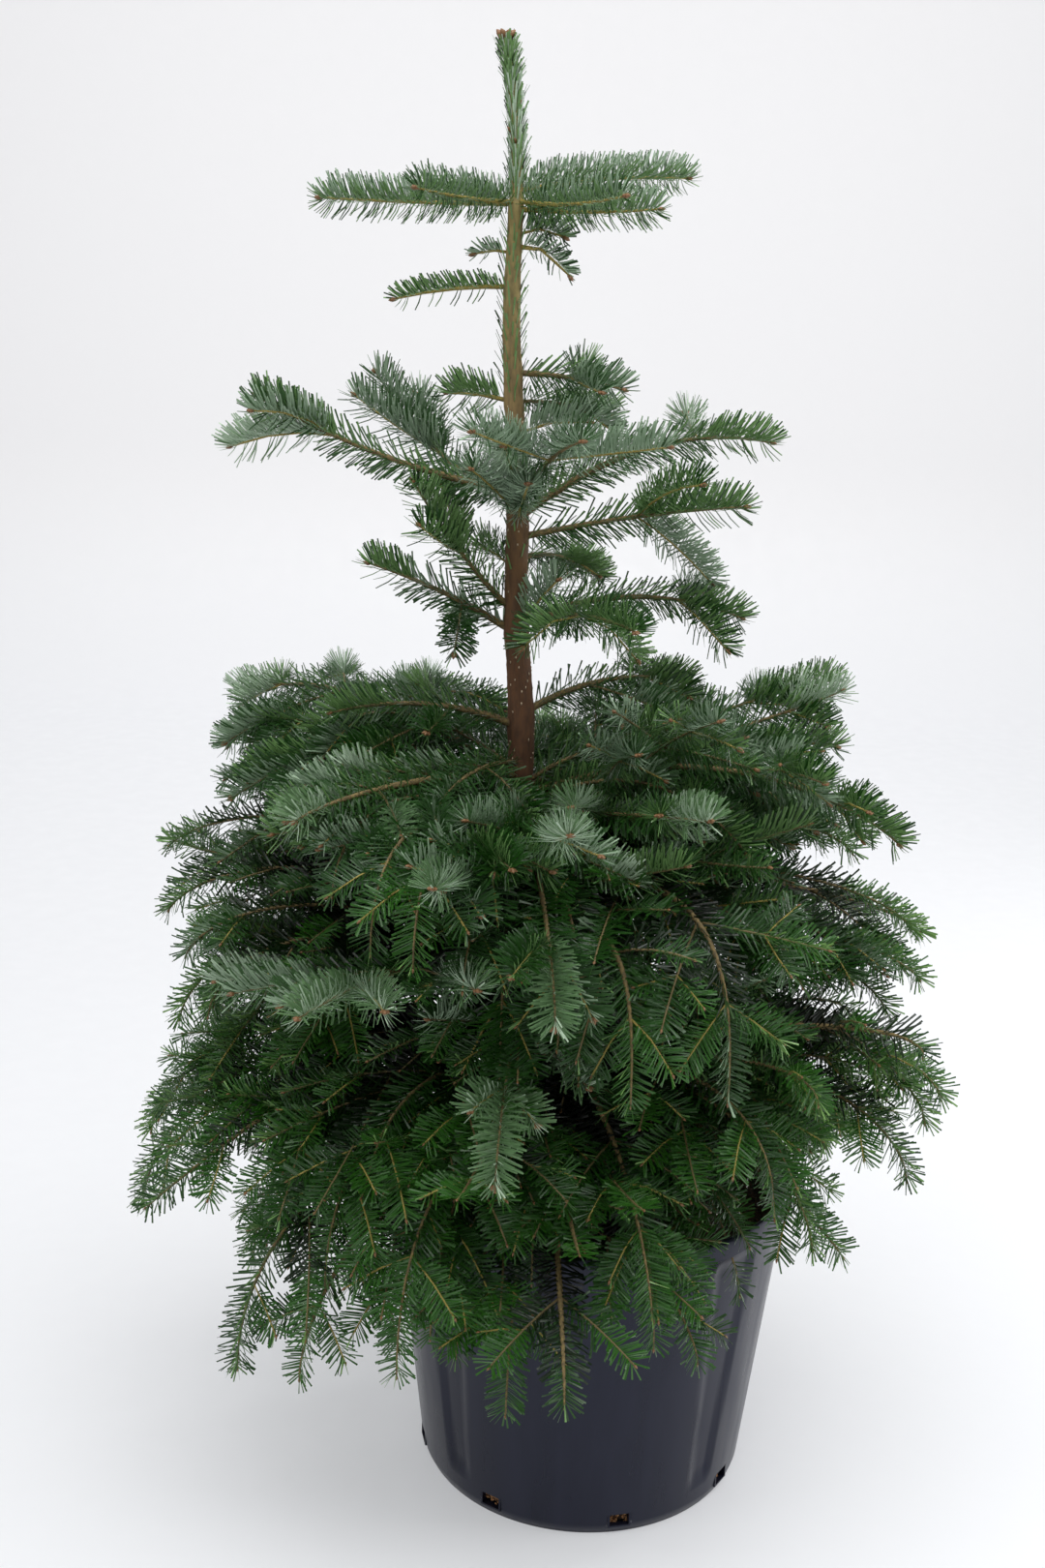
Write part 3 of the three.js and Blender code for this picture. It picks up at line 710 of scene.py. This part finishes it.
def grown_axes():
    axes = []
    for number, row in enumerate(ROWS):
        name, *course, years = row[:FEWEST_VALUES]
        stem = Axis(bough_path(*course), years, 0, SEED + SEED_STEP * number, WORLD_UP, name, number)
        grow(stem, Forks(*row[FEWEST_VALUES:]), axes)
    return axes


# Needles: closed blades, straight or with one bend

class Blade:
    """The shape that all needles of one kind share: how far along and how wide the pairs of edge
    points stand, and the faces, the upper ones first."""

    def __init__(self, shares, widths, upper_faces, lower_faces):
        self.shares = np.array(shares)
        self.widths = np.array(widths)
        self.faces = np.array(upper_faces + lower_faces)
        self.shades = (np.arange(len(self.faces)) >= len(upper_faces)).astype(np.int32)


# Three pairs of edge points, then the keel point below them
CURVED = Blade(
    (0.0, 0.5, 1.0), (0.6, 1.0, 0.8),
    [(0, 1, 3), (0, 3, 2), (2, 3, 5), (2, 5, 4)],
    [(6, 0, 2), (6, 3, 1), (6, 2, 4), (6, 5, 3), (6, 4, 5), (6, 1, 0)],
)
# A pair at the foot and one at the tip, two of them raised and two sunk
STRAIGHT = Blade((0.0, 1.0), (0.72, 0.92), [(0, 1, 3), (0, 3, 2)], [(0, 2, 1), (1, 2, 3)])
KEEL_SHARE = 0.5


class Needles(namedtuple("Needles", "base way upper length bend width around")):
    """Where each needle of a spray starts, its way, its upper side, its length, bend and width, and
    how far round its shoot it stands, from the upper side in degrees."""

    def picked(self, chosen):
        return Needles(*(value[chosen] for value in self))

    def straight(self):
        across = unit(np.cross(self.way, self.upper)) * (self.width / 2)[:, None]
        raised = np.cross(unit(across), self.way) * (NEEDLE_THICKNESS / 2)
        corners = []
        for share, width, lift in zip(STRAIGHT.shares, STRAIGHT.widths, (1, -1)):
            middle = self.base + self.way * (self.length * share)[:, None]
            corners += [middle - across * width + raised * lift, middle + across * width - raised * lift]
        return np.stack(corners, 1), STRAIGHT

    def curved(self):
        across = unit(np.cross(self.way, self.upper))
        face = np.cross(across, self.way)
        shares = np.append(CURVED.shares, KEEL_SHARE)
        middles = self.base[:, None] + self.way[:, None] * (self.length[:, None] * shares)[..., None]
        middles += self.bend[:, None] * (self.length[:, None] * shares**2)[..., None]
        half = across[:, None] * (self.width[:, None] / 2 * CURVED.widths)[..., None]
        edges = np.stack([middles[:, :-1] - half, middles[:, :-1] + half], 2)
        keel = middles[:, -1:] - face[:, None] * NEEDLE_THICKNESS
        return np.concatenate([edges.reshape(len(self.base), -1, 3), keel], 1), CURVED


# How needles stand on a shoot: their range round it from its upper side and their lean from its
# tip, in degrees, how many there are for each millimetre, the share that hangs below, how strongly
# they curve up, and their length and width as shares of the full ones
Habit = namedtuple("Habit", "low high lean density below curve length width")

# Further than this to the left or right of the trunk, shoots of the lower crown are full all round
EDGE_REACH = 200
# Nearer to the trunk than this, needles are painted nearly black as painted shade of the crown's inside,
# and below this height new ones are fresh green
SHADE_REACH = 170
FRESH_HEIGHT = 430

# On the top whorl, needles nearer to the upper side than this are a spray of their own, in the lighter blue
# colour: partly their own bluish tint, partly painted light from above
UPPER_RANKS = 48

HABITS = {
    "brush": Habit(0, 116, 74, 3.6, 0.18, 0.22, 0.66, 0.65),
    "twig": Habit(4, 100, 70, 2.2, 0.1, 0.1, 0.5, 0.7),
    "soft": Habit(6, 100, 66, 2.9, 0.12, 0.15, 0.8, 0.7),
    "full": Habit(18, 125, 60, 2.2, 0.12, 0.0, 0.76, 0.75),
    "aged": Habit(20, 165, 54, 1.9, 0.24, 0.0, 0.9, 0.75),
    "edge": Habit(22, 126, 64, 2.0, 0.08, 0.0, 0.72, 0.76),
    "parted": Habit(48, 98, 66, 1.4, 0.04, 0.0, 0.68, 0.76),
    "inner": Habit(30, 115, 58, 1.05, 0.08, 0.0, 0.88, 0.94),
}


def needles_on(axis, start, end, is_newest, habit, rng):
    """The needles on one year's growth of an axis."""
    span = axis.length_between(start, end)
    count = max(FEWEST_NEEDLES, int(span * habit.density))
    number = np.arange(count)
    share = start + (end - start) * (number + 0.5 + rng.uniform(-0.4, 0.4, count)) / count
    base, tangent, side, up = axis.frames(share)
    hand = np.where(number % 2, 1.0, -1.0)
    spacing = (number // 2 * GOLDEN_SHARE + GOLDEN_SHARE_HALF * (number % 2)) % 1
    around = np.radians(habit.low + (habit.high - habit.low) * spacing + rng.normal(0, 4, count))
    is_below = rng.random(count) < habit.below
    around = np.where(is_below, np.radians(rng.uniform(*HANGING_ANGLES, count)), around)
    lean = np.radians(habit.lean + rng.normal(0, 5, count))
    if is_newest:
        closing = np.exp(-(end - share) / (end - start) * span / CLOSING_LENGTH)
        lean *= 1 - closing * rng.uniform(0.2, 1, count)
        around += closing * rng.normal(0, 1.0, count)
    radial = up * np.cos(around)[:, None] + side * (hand * np.sin(around))[:, None]
    way = unit(tangent * np.cos(lean)[:, None] + radial * np.sin(lean)[:, None])
    upper = up * np.sin(around)[:, None] - side * (hand * np.cos(around))[:, None]
    upper = unit(upper + rng.normal(0, 0.3, (count, 3)) + tangent * 0.3)
    length = NEEDLE_LENGTH * habit.length * rng.uniform(0.88, 1.08, count)
    if is_newest:
        length *= 1 - 0.35 * closing
    length *= 1 - 0.4 * np.exp(-(share - start) / (end - start) * span / SHORT_FOOT)
    length = np.where(is_below, length * 0.9, length)
    width = NEEDLE_WIDTH * habit.width * np.where(is_below, 0.75, 1.0)
    base = base + radial * twig_radius(axis, share)[:, None] * 0.7
    bend = None
    if habit.curve:
        bend = WORLD_UP * habit.curve + tangent * 0.1
        bend = np.where(is_below[:, None], tangent * 0.25, bend)
    return Needles(base, way, upper, length, bend, width, np.degrees(around))


# The radius of a twig at its tip, and at its foot: at first, and what each year adds
TWIG_TIP_RADIUS = 0.75
SHOOT_GIRTH = (0.6, 0.25)
BOUGH_GIRTH = (1.4, 0.7)
SMALL_BOUGH_GIRTH = (0.9, 0.45)


def twig_radius(axis, share):
    girth = BOUGH_GIRTH if axis.is_main else SMALL_BOUGH_GIRTH
    first, each_year = SHOOT_GIRTH if axis.order else girth
    thick = first + each_year * axis.years
    return thick + (TWIG_TIP_RADIUS - thick) * np.asarray(share)


def is_pale_tip(axis, age):
    return axis.number in PALE_ROWS and axis.order < 2 and age == 0


def habit_of(axis, age, tip):
    if axis.bough.startswith("top"):
        return HABITS["brush"]
    if axis.bough.startswith("twig"):
        return HABITS["twig"]
    if axis.bough.startswith("second") or is_pale_tip(axis, age):
        return HABITS["soft" if age == 0 else "aged"]
    if tip[2] > CROWN_SHOULDER:
        return HABITS["aged" if age else "soft" if axis.order < 2 else "full"]
    if age == 0 and abs(tip[0] - trunk_point(tip[2])[0]) > EDGE_REACH:
        return HABITS["edge"]
    return HABITS["parted" if age == 0 else "inner"]


def colour_of(axis, age, tip, rng):
    chance = rng.random()
    if axis.bough.startswith(("top", "twig")):
        return "blue" if chance < 0.75 else "green"
    if is_pale_tip(axis, age):
        return "silver" if axis.order == 0 or chance < 0.4 else "blue" if chance < 0.8 else "green"
    if axis.bough.startswith("second"):
        return "green" if age else "silver" if chance < 0.35 else "blue" if chance < 0.85 else "green"
    if tip[2] > CROWN_SHOULDER:
        return "blue" if chance < (0.1 if age else 0.4) else "green"
    from_trunk = np.hypot(tip[0] - trunk_point(tip[2])[0], tip[1])
    # Needles near the trunk, and those over two years old, take the deep colour: painted shade of the
    # crown's inside, partly the older needles' own darker tone
    if from_trunk < SHADE_REACH or age > 1:
        return "deep"
    # One-year-old needles mostly take the dusk colour: partly their own darker tone with age, partly
    # painted shade
    if age:
        return "dusk" if chance < 0.6 else "green"
    if tip[2] < FRESH_HEIGHT:
        return "fresh" if chance < 0.75 else "green"
    return "green" if chance < 0.55 else "fresh" if chance < 0.8 else "blue"


def add_needles(foliage, needles, colour, node):
    points, shape = needles.straight() if needles.bend is None else needles.curved()
    stands_clear = ~in_pot(points, 0.5).any(1)
    points = points[stands_clear]
    starts = np.arange(len(points)) * points.shape[1]
    faces = (shape.faces[None] + starts[:, None, None]).reshape(-1, 3)
    foliage[colour].add(points.reshape(-1, 3), faces, node, np.tile(shape.shades, len(points)))


def add_sprays(foliage, axis, rng):
    """One spray of needles for each year's growth of an axis."""
    marks = year_marks(axis.years)
    bare = (trunk_radius(axis.path(0)[2]) if axis.order == 0 else 3) + 4
    marks[0] = min(marks[1] * 0.6, bare / axis.length)
    for year in range(axis.years):
        age = axis.years - 1 - year
        start, end = marks[year], marks[year + 1]
        tip = axis.path(end)
        habit = habit_of(axis, age, tip)
        needles = needles_on(axis, start, end, age == 0, habit, rng)
        colour = colour_of(axis, age, tip, rng)
        if habit is HABITS["brush"]:
            # The upper ranks are lighter than the lower ones: partly the needles' own bluish tint, partly
            # painted light falling from above
            is_upper = needles.around < UPPER_RANKS
            add_needles(foliage, needles.picked(is_upper), "blue", axis.node)
            add_needles(foliage, needles.picked(~is_upper), "green", axis.node)
        else:
            add_needles(foliage, needles, colour, axis.node)


def add_twig(piece, axis, step, around, relief_size=0.0, rng=None):
    """The bark of an axis, in steps along it and round it, with a relief from random numbers."""
    rows = max(3, int(axis.length / step) + 1)
    share = np.linspace(0, 1, rows)
    middles, _tangent, sides, ups = axis.frames(share)
    relief = 1 + relief_size * rng.normal(0, 1, (rows, around)) if rng else 1.0
    piece.add(*tube(middles, sides, ups, twig_radius(axis, share), around, relief), axis.node)


# Buds: small egg shapes in a cluster at a shoot's tip
# Places along a bud and its width there, as shares
BUD = ((0.0, 0.6), (0.3, 1.0), (0.7, 0.75), (1.0, 0.1))
SMALL_BUD = ((0.0, 0.6), (0.4, 1.0), (1.0, 0.2))
BUD_LENGTH = 5.6
SMALL_BUD_LENGTH = 3.6
BUD_SLIMNESS = 0.34


def bud_shape(base, way, length, radius, is_small=False):
    side = unit(np.cross(way, [0.3, 0.5, 0.8]))
    shares, widths = np.array(SMALL_BUD if is_small else BUD).T
    middles = base + way * (length * shares)[:, None]
    return tube(middles, side[None], np.cross(side, way)[None], radius * widths, 4 if is_small else 5)


def add_buds(piece, axis, rng):
    point, tangent, side, _up = (values[0] for values in axis.frames(np.array([1.0])))
    is_high = point[2] > CROWN_SHOULDER or is_pale_tip(axis, 0)
    ways = [tangent]
    if is_high and axis.order < 2:
        ways += [unit(tangent + side * 0.9), unit(tangent - side * 0.9)]
    for number, way in enumerate(ways):
        length = BUD_LENGTH if is_high else SMALL_BUD_LENGTH
        length *= (1 - 0.15 * bool(number)) * rng.uniform(0.9, 1.1)
        bud = bud_shape(point + way * 0.5, way, length, length * BUD_SLIMNESS, not is_high)
        piece.add(*bud, axis.node)


# Trunk: its mesh, the bark's waves and grain as shares of its radius, and the collars at the boughs
TRUNK_ROWS = 340
TRUNK_STEPS_ROUND = 24
BARK_WAVES = 14
BARK_RELIEF = 0.012
COLLAR_RELIEF = 0.1
COLLAR_HEIGHT = 9
LENTICEL_HEIGHTS = np.arange(270, 960, 2.1)


def make_trunk(look):
    rng = np.random.default_rng(SEED)
    low = SOIL_HEIGHT + 0.3
    z = low + (TRUNK_TOP - low) * np.linspace(0, 1, TRUNK_ROWS)
    turn = turns(TRUNK_STEPS_ROUND)
    relief = np.ones((TRUNK_ROWS, TRUNK_STEPS_ROUND))
    for _wave in range(BARK_WAVES):
        count = rng.integers(2, 9)
        phase, drift = rng.uniform(0, 2 * np.pi), rng.normal(0, 0.02)
        fade = np.sin(z * rng.uniform(0.03, 0.12) + phase)
        relief += BARK_RELIEF * fade[:, None] * np.cos(count * turn[None] + phase + drift * z[:, None])
    relief += rng.normal(0, BARK_RELIEF, relief.shape)
    for _name, height, azimuth, *_rest in BOUGHS:
        collar = np.exp(-((z - height) / COLLAR_HEIGHT) ** 2)
        facing = np.exp(2.2 * (np.cos(turn - math.radians(azimuth)) - 1))
        relief += COLLAR_RELIEF * collar[:, None] * facing[None]
    sides, ups = np.array([[1.0, 0, 0]]), np.array([[0, 1.0, 0]])
    body = tube(trunk_point(z), sides, ups, trunk_radius(z) * 0.985, TRUNK_STEPS_ROUND, relief)
    piece = Piece("trunk_bark", "trunk_bark", [look])
    piece.add(*body, "trunk")
    piece.build()


def make_lenticels(look):
    """Pale raised dots on the older bark."""
    rng = np.random.default_rng(SEED + 1)
    piece = Piece("lenticels", "trunk_bark", [look])
    turn = turns(6)
    for z in LENTICEL_HEIGHTS:
        z = z + rng.uniform(-1, 1)
        if rng.random() < (z - 800) / 200:
            continue
        out, across = out_and_across(rng.uniform(0, 2 * np.pi))
        middle = trunk_point(z) + out * (trunk_radius(z) - 0.1)
        high, wide = rng.uniform(0.7, 1.6), rng.uniform(0.45, 0.8)
        ring = np.cos(turn)[:, None] * across * wide + np.sin(turn)[:, None] * WORLD_UP * high
        dot = closed_body(middle + ring, len(turn), middle - out * 0.6, middle + out * 0.55)
        piece.add(*dot, "trunk")
    piece.build()


# Needles along the stem: lowest, highest, how many, lean from upright, length and colour
STEM_NEEDLES = (
    (1078, 1186, 150, 21, 17, "green"),
    (1078, 1186, 230, 18, 16, "silver"),
    (1162, 1188, 80, 36, 15, "green"),
    (928, 1068, 120, 27, 16, "green"),
    (770, 920, 40, 30, 14, "green"),
)
# Buds on the leading shoot, by height and turn in radians
STEM_BUDS = ((1128, 3.3), (1147, -0.6), (1108, 1.4), (1120, -1.9))


def stem_needles(low, high, count, lean, length, rng):
    """Needles that stand close along the stem between two heights."""
    z = low + (high - low) * (np.arange(count) + rng.random(count)) / count
    turn = np.arange(count) * GOLDEN_ANGLE + rng.normal(0, 0.2, count)
    radial = np.stack([np.cos(turn), np.sin(turn), np.zeros(count)], 1)
    leans = np.radians(lean + rng.normal(0, 5, count))
    way = unit(WORLD_UP * np.cos(leans)[:, None] + radial * np.sin(leans)[:, None])
    base = trunk_point(z) + radial * (trunk_radius(z) - 0.4)[:, None]
    upper = unit(-radial + rng.normal(0, 0.2, (count, 3)))
    lengths = length * rng.uniform(0.75, 1.1, count)
    widths = np.full(count, NEEDLE_WIDTH * 0.75)
    return Needles(base, way, upper, lengths, None, widths, None)


def make_leader(foliage, buds):
    """The leading shoot: needles pressed close to it, buds along it and a cluster on top."""
    rng = np.random.default_rng(SEED + 2)
    for low, high, count, lean, length, colour in STEM_NEEDLES:
        needles = stem_needles(low, high, count, lean, length, rng)
        add_needles(foliage, needles, colour, "needles_leader")
    tip_buds = [(TRUNK_TOP - 3, turn, 0.9, 1.0, 8, 2.9) for turn in np.arange(6) * 2 * np.pi / 6]
    side_buds = [(z, turn, 1.0, 0.7, 6, 1.9) for z, turn in STEM_BUDS]
    for z, turn, out, rise, length, radius in tip_buds + side_buds:
        way = unit(np.array([math.cos(turn) * out, math.sin(turn) * out, rise]))
        bud = bud_shape(trunk_point(z) + way * 2.5, way, length, radius)
        buds.add(*bud, "needles_leader")


# Pot

def from_nearest(angle, first, count):
    """Degrees from an angle to the nearest of some places, evenly round the pot from the first."""
    pitch = 360 / count
    return np.abs((angle - first + pitch / 2) % pitch - pitch / 2)


def flute_depth(angle, height):
    """How far the wall is pressed in, in millimetres, at an angle in degrees and a height."""
    off = from_nearest(angle, FLUTE_FIRST_ANGLE, FLUTE_COUNT)
    half = FLUTE_WIDTH / 2 * (0.45 + 0.55 * np.clip(height / POT_HEIGHT, 0, 1))
    edge = np.clip((half - off) / 1.2 + 0.5, 0, 1)
    low = np.clip((height - 24) / 14, 0, 1)
    high = np.clip((POT_HEIGHT - POT_RIM_DEPTH - 6 - height) / 8, 0, 1)
    return FLUTE_DEPTH * edge * low * high


def pot_profile():
    """Radius, height, and whether the flutes press the wall there, from the foot to the floor inside."""
    base, neck, rim_radius, top = POT_BASE_RADIUS, POT_SHOULDER_RADIUS, POT_RIM_RADIUS, POT_HEIGHT
    shoulder = top - POT_RIM_DEPTH
    foot = [(0, 0, 0), (POT_FOOT_RADIUS - 6, 0, 0), (POT_FOOT_RADIUS, 0.4, 0), (base - 2, 3.5, 0)]
    foot += [(base - 0.4, 5.5, 0), (base, 7.5, 0)]
    heights = np.concatenate([np.linspace(9, 24, 11), np.linspace(28, shoulder - 3, 44)])
    slope = (neck - base) / shoulder
    wall = [(base + 0.3 + slope * (z - 6), z, 1) for z in heights]
    rim = [
        (neck - 0.4, shoulder - 1, 0),
        (rim_radius - 1.2, shoulder, 0),
        (rim_radius - 0.2, shoulder + 0.8, 0),
        (rim_radius, shoulder + 2.2, 0),
        (rim_radius - 0.3, top - 8, 0),
        (rim_radius, top - 2.4, 0),
        (rim_radius - 0.5, top - 0.8, 0),
        (rim_radius - 1.6, top, 0),
        (neck + 1, top, 0),
        (neck, top - 1, 0),
        (neck - 1, shoulder + 6, 0),
    ]
    inside = [(radius - POT_WALL, z, 1) for radius, z, _pressed in reversed(wall) if z >= POT_FLOOR + 2]
    floor = [(base - POT_WALL - 2, POT_FLOOR, 0), (0, POT_FLOOR, 0)]
    return foot + wall + rim + inside + floor


def make_pot(look):
    profile = pot_profile()
    angles = np.linspace(-180, 180, POT_STEPS_ROUND, endpoint=False)
    rows = []
    for radius, height, is_pressed in profile:
        reach = radius - flute_depth(angles, height) if is_pressed else radius
        rows.append(level_ring(reach, np.radians(angles), height))
    points = np.concatenate(rows)
    faces = grid_faces(len(profile), POT_STEPS_ROUND)
    middle = points[faces].mean(1)
    pot_angle = np.degrees(np.arctan2(middle[:, 1], middle[:, 0]))
    across = np.radians(from_nearest(pot_angle, DRAIN_FIRST_ANGLE, DRAIN_COUNT)) * POT_BASE_RADIUS
    radius = np.hypot(middle[:, 0], middle[:, 1])
    in_hole = (across < DRAIN_HALF_WIDTH) & (middle[:, 2] > DRAIN_LOW) & (middle[:, 2] < DRAIN_HIGH)
    faces = faces[~(in_hole & (radius > POT_BASE_RADIUS - 8))]
    piece = Piece("nursery_pot", "pot_plastic", [look])
    piece.add(points, faces, "pot")
    piece.build()


def drain_holes():
    """The ways out and across at each drain hole."""
    for number in range(DRAIN_COUNT):
        yield out_and_across(math.radians(DRAIN_FIRST_ANGLE + 360 / DRAIN_COUNT * number))


def make_drain_frames(look):
    """The thick edge of each drain hole, from the outer wall to the inner one."""
    piece = Piece("drain_frames", "pot_plastic", [look], False)
    corners = ((-1, DRAIN_LOW), (1, DRAIN_LOW), (1, DRAIN_HIGH), (-1, DRAIN_HIGH))
    inner, outer = POT_BASE_RADIUS - 4, POT_BASE_RADIUS + 1.9
    for out, across in drain_holes():
        points = []
        for reach, larger in ((inner, 0.9), (outer, 0.9), (outer, -0.6), (inner, -0.6), (inner, 0.9)):
            for hand, height in corners:
                wide = hand * (DRAIN_HALF_WIDTH + larger)
                level = height + (larger if height == DRAIN_HIGH else -larger)
                points.append(out * math.sqrt(reach**2 - wide**2) + across * wide + WORLD_UP * level)
        piece.add(np.array(points), grid_faces(5, 4), "pot")
    piece.build()


def make_crumbs(look):
    """Crumbs of bark and peat that fill the drain holes, coloured paler than the compost as painted light
    in the holes' shade.
    """
    rng = np.random.default_rng(SEED + 5)
    piece = Piece("compost_crumbs", "compost", [look], False)
    square = np.array([(1.0, 0, 0), (0, 1, 0), (-1, 0, 0), (0, -1, 0)])
    corners, faces = closed_body(square, 4, (0, 0, -1), (0, 0, 1))
    for out, across in drain_holes():
        for _crumb in range(CRUMBS_IN_HOLE):
            wide = rng.uniform(-DRAIN_HALF_WIDTH, DRAIN_HALF_WIDTH)
            level = rng.uniform(DRAIN_LOW, DRAIN_HIGH)
            middle = out * (POT_BASE_RADIUS - rng.uniform(3.6, 5.2)) + across * wide + WORLD_UP * level
            shape = corners * rng.uniform(0.8, 2.4, 3) @ np.linalg.qr(rng.normal(size=(3, 3)))[0]
            if np.linalg.det(shape[[0, 1, 5]]) < 0:
                shape = -shape
            piece.add(middle + shape, faces, "soil")
    piece.build()


def make_soil(look):
    """Lumpy compost that fills the pot."""
    rng = np.random.default_rng(SEED + 3)
    turn = turns(SOIL_STEPS_ROUND)
    shoulder = POT_HEIGHT - POT_RIM_DEPTH

    def inner(height):
        share = (height - POT_FLOOR) / (shoulder - POT_FLOOR)
        return POT_BASE_RADIUS + (POT_SHOULDER_RADIUS - POT_BASE_RADIUS) * share - POT_WALL - 3.5

    rows = []
    for height in (POT_FLOOR + 0.6, 12, 16, 20, 60, 120, 180, SOIL_EDGE_HEIGHT):
        rows.append(level_ring(inner(height) + rng.normal(0, 0.7, SOIL_STEPS_ROUND), turn, height))
    for ring in range(1, SOIL_RINGS):
        radius = inner(SOIL_EDGE_HEIGHT) * (1 - ring / SOIL_RINGS)
        level = SOIL_HEIGHT if radius < SOIL_FLAT_RADIUS else SOIL_EDGE_HEIGHT + 3
        rows.append(level_ring(radius, turn, level + (rng.normal(0, 1.3, SOIL_STEPS_ROUND) - 2)))
    ends = (0, 0, POT_FLOOR + 0.6), (0, 0, SOIL_HEIGHT - 2)
    piece = Piece("compost", "compost", [look])
    piece.add(*closed_body(np.concatenate(rows), SOIL_STEPS_ROUND, *ends), "soil")
    piece.build()


# Stage and light

# The floor and the wall glow a little, a painted light that keeps their shadows pale
FLOOR_GLOW = 0.33
# In metres: the floor reaches from the front to the sweep, which turns it up into the wall
FLOOR_FRONT, FLOOR_BACK, FLOOR_HALF_WIDTH = -4.0, 2.7, 7.0
SWEEP_RADIUS = 0.6
SWEEP_STEPS = 24
WALL_HEIGHT = 4.5


def make_stage():
    """A pale floor and wall, with room behind the tree for a view from the back."""
    # The emission is painted light on the floor and the wall, which lightens the shadows on them
    glow = {"Emission_Color": linear(250, 251, 255), "Emission_Strength": FLOOR_GLOW}
    look = Look("studio_floor", (190, 191, 193), 0.6, **glow)
    grain = look.noise(30)
    look.rough(grain, 0.5, 0.7).bump(grain, 0.0002)
    look.colour(look.colours(look.height(), (0.0, (190, 191, 193)), (0.5, (190, 189, 189))))
    profile = [(FLOOR_FRONT, 0.0)]
    for step in range(SWEEP_STEPS + 1):
        angle = math.pi / 2 * step / SWEEP_STEPS
        rise = SWEEP_RADIUS * (1 - math.cos(angle))
        profile.append((FLOOR_BACK + SWEEP_RADIUS * math.sin(angle), rise))
    profile.append((FLOOR_BACK + SWEEP_RADIUS, WALL_HEIGHT))
    points = [(x, y, z) for y, z in profile for x in (-FLOOR_HALF_WIDTH, FLOOR_HALF_WIDTH)]
    faces = [(2 * i, 2 * i + 1, 2 * i + 3, 2 * i + 2) for i in range(len(profile) - 1)]
    put_mesh("studio_sweep", points, faces, [look.material], True)


def add_light(name, place, target, size, power, spread=180):
    light = bpy.data.lights.new(name, "AREA")
    light.shape = "RECTANGLE"
    light.size, light.size_y = size
    light.energy = power
    light.spread = math.radians(spread)
    lamp = put(name, light)
    lamp.location = place
    lamp.rotation_euler = (Vector(target) - Vector(place)).to_track_quat("-Z", "Y").to_euler()


def make_light():
    world = bpy.data.worlds.new("studio")
    world.use_nodes = True
    fill(world.node_tree.nodes["Background"], Color=(0.98, 0.99, 1.0, 1), Strength=0.15)
    bpy.context.scene.world = world
    add_light("roof_light", (0.1, -0.6, 3.0), (0, 0, 0.5), (3.0, 2.6), 100)
    add_light("left_light", (-2.4, -0.9, 1.9), (0, 0, 0.6), (1.2, 1.6), 20)
    add_light("right_light", (2.4, -0.2, 1.2), (0, 0, 0.4), (1.0, 2.0), 25)
    add_light("front_light", (-0.3, -3.0, 1.5), (0, 0, 0.45), (2.4, 1.2), 11)
    add_light("edge_light", (1.7, 1.0, 0.5), (0, 0, 0.2), (0.3, 0.9), 9)
    add_light("wall_light", (0, 1.6, 3.4), (0, 3.2, 0.6), (5.0, 1.4), 18, 90)
    bpy.context.scene.view_settings.view_transform = "Standard"


# Assembly

make_camera()
make_stage()
make_light()

# Needles of each colour: their slot, and the colours of their upper side and their paler underside
NEEDLE_COLOURS = {
    "silver": ("needles_blue", (84, 114, 75), (170, 191, 166)),
    "blue": ("needles_blue", (42, 75, 34), (146, 170, 142)),
    "green": ("needles_dark", (26, 64, 14), (106, 143, 84)),
    "fresh": ("needles_dark", (38, 84, 19), (120, 158, 90)),
    # Dusk is the older needles' own darker tone, deepened as painted shade
    "dusk": ("needles_dark", (12, 33, 8), (48, 73, 37)),
    # Deep is painted shade: nearly black needles where the crown's inside lies in shade, partly the older
    # needles' own darker tone
    "deep": ("needles_dark", (3, 11, 2), (10, 22, 7)),
}
foliage = {}
for colour, (slot, upper, under) in NEEDLE_COLOURS.items():
    looks = [needle_look("needle_" + colour, upper), needle_look("needle_" + colour + "_under", under)]
    foliage[colour] = Foliage("needles_" + colour, slot, looks)

young_twigs = Piece("young_twigs", "twig_bark", [twig_look("young_twig", (150, 134, 66))])
old_twigs = Piece("old_twigs", "twig_bark", [twig_look("old_twig", (104, 90, 56))])
boughs = Piece("bough_bark", "twig_bark", [bough_look()])
buds = Piece("buds", "twig_bark", [bud_look()])

for axis in grown_axes():
    rng = np.random.default_rng(axis.seed)
    if axis.years == 1:
        add_twig(young_twigs, axis, 20, 4)
    elif axis.order:
        add_twig(old_twigs, axis, 16, 5, 0.03, rng)
    elif axis.is_main:
        add_twig(boughs, axis, 8, 8, 0.045, rng)
    else:
        add_twig(boughs, axis, 16, 6, 0.045, rng)
    add_sprays(foliage, axis, rng)
    add_buds(buds, axis, rng)

make_leader(foliage, buds)
for needles in foliage.values():
    needles.build()
for name, *_values, bare, _first in BOUGHS:
    if bare:
        boughs.nodes.add("bough_" + name)
for piece in (young_twigs, old_twigs, boughs, buds):
    piece.build()

make_trunk(bark_look())
make_lenticels(lenticel_look())
plastic = pot_look()
make_pot(plastic)
make_drain_frames(plastic)
make_soil(soil_look())
make_crumbs(painted_light_crumb_look())
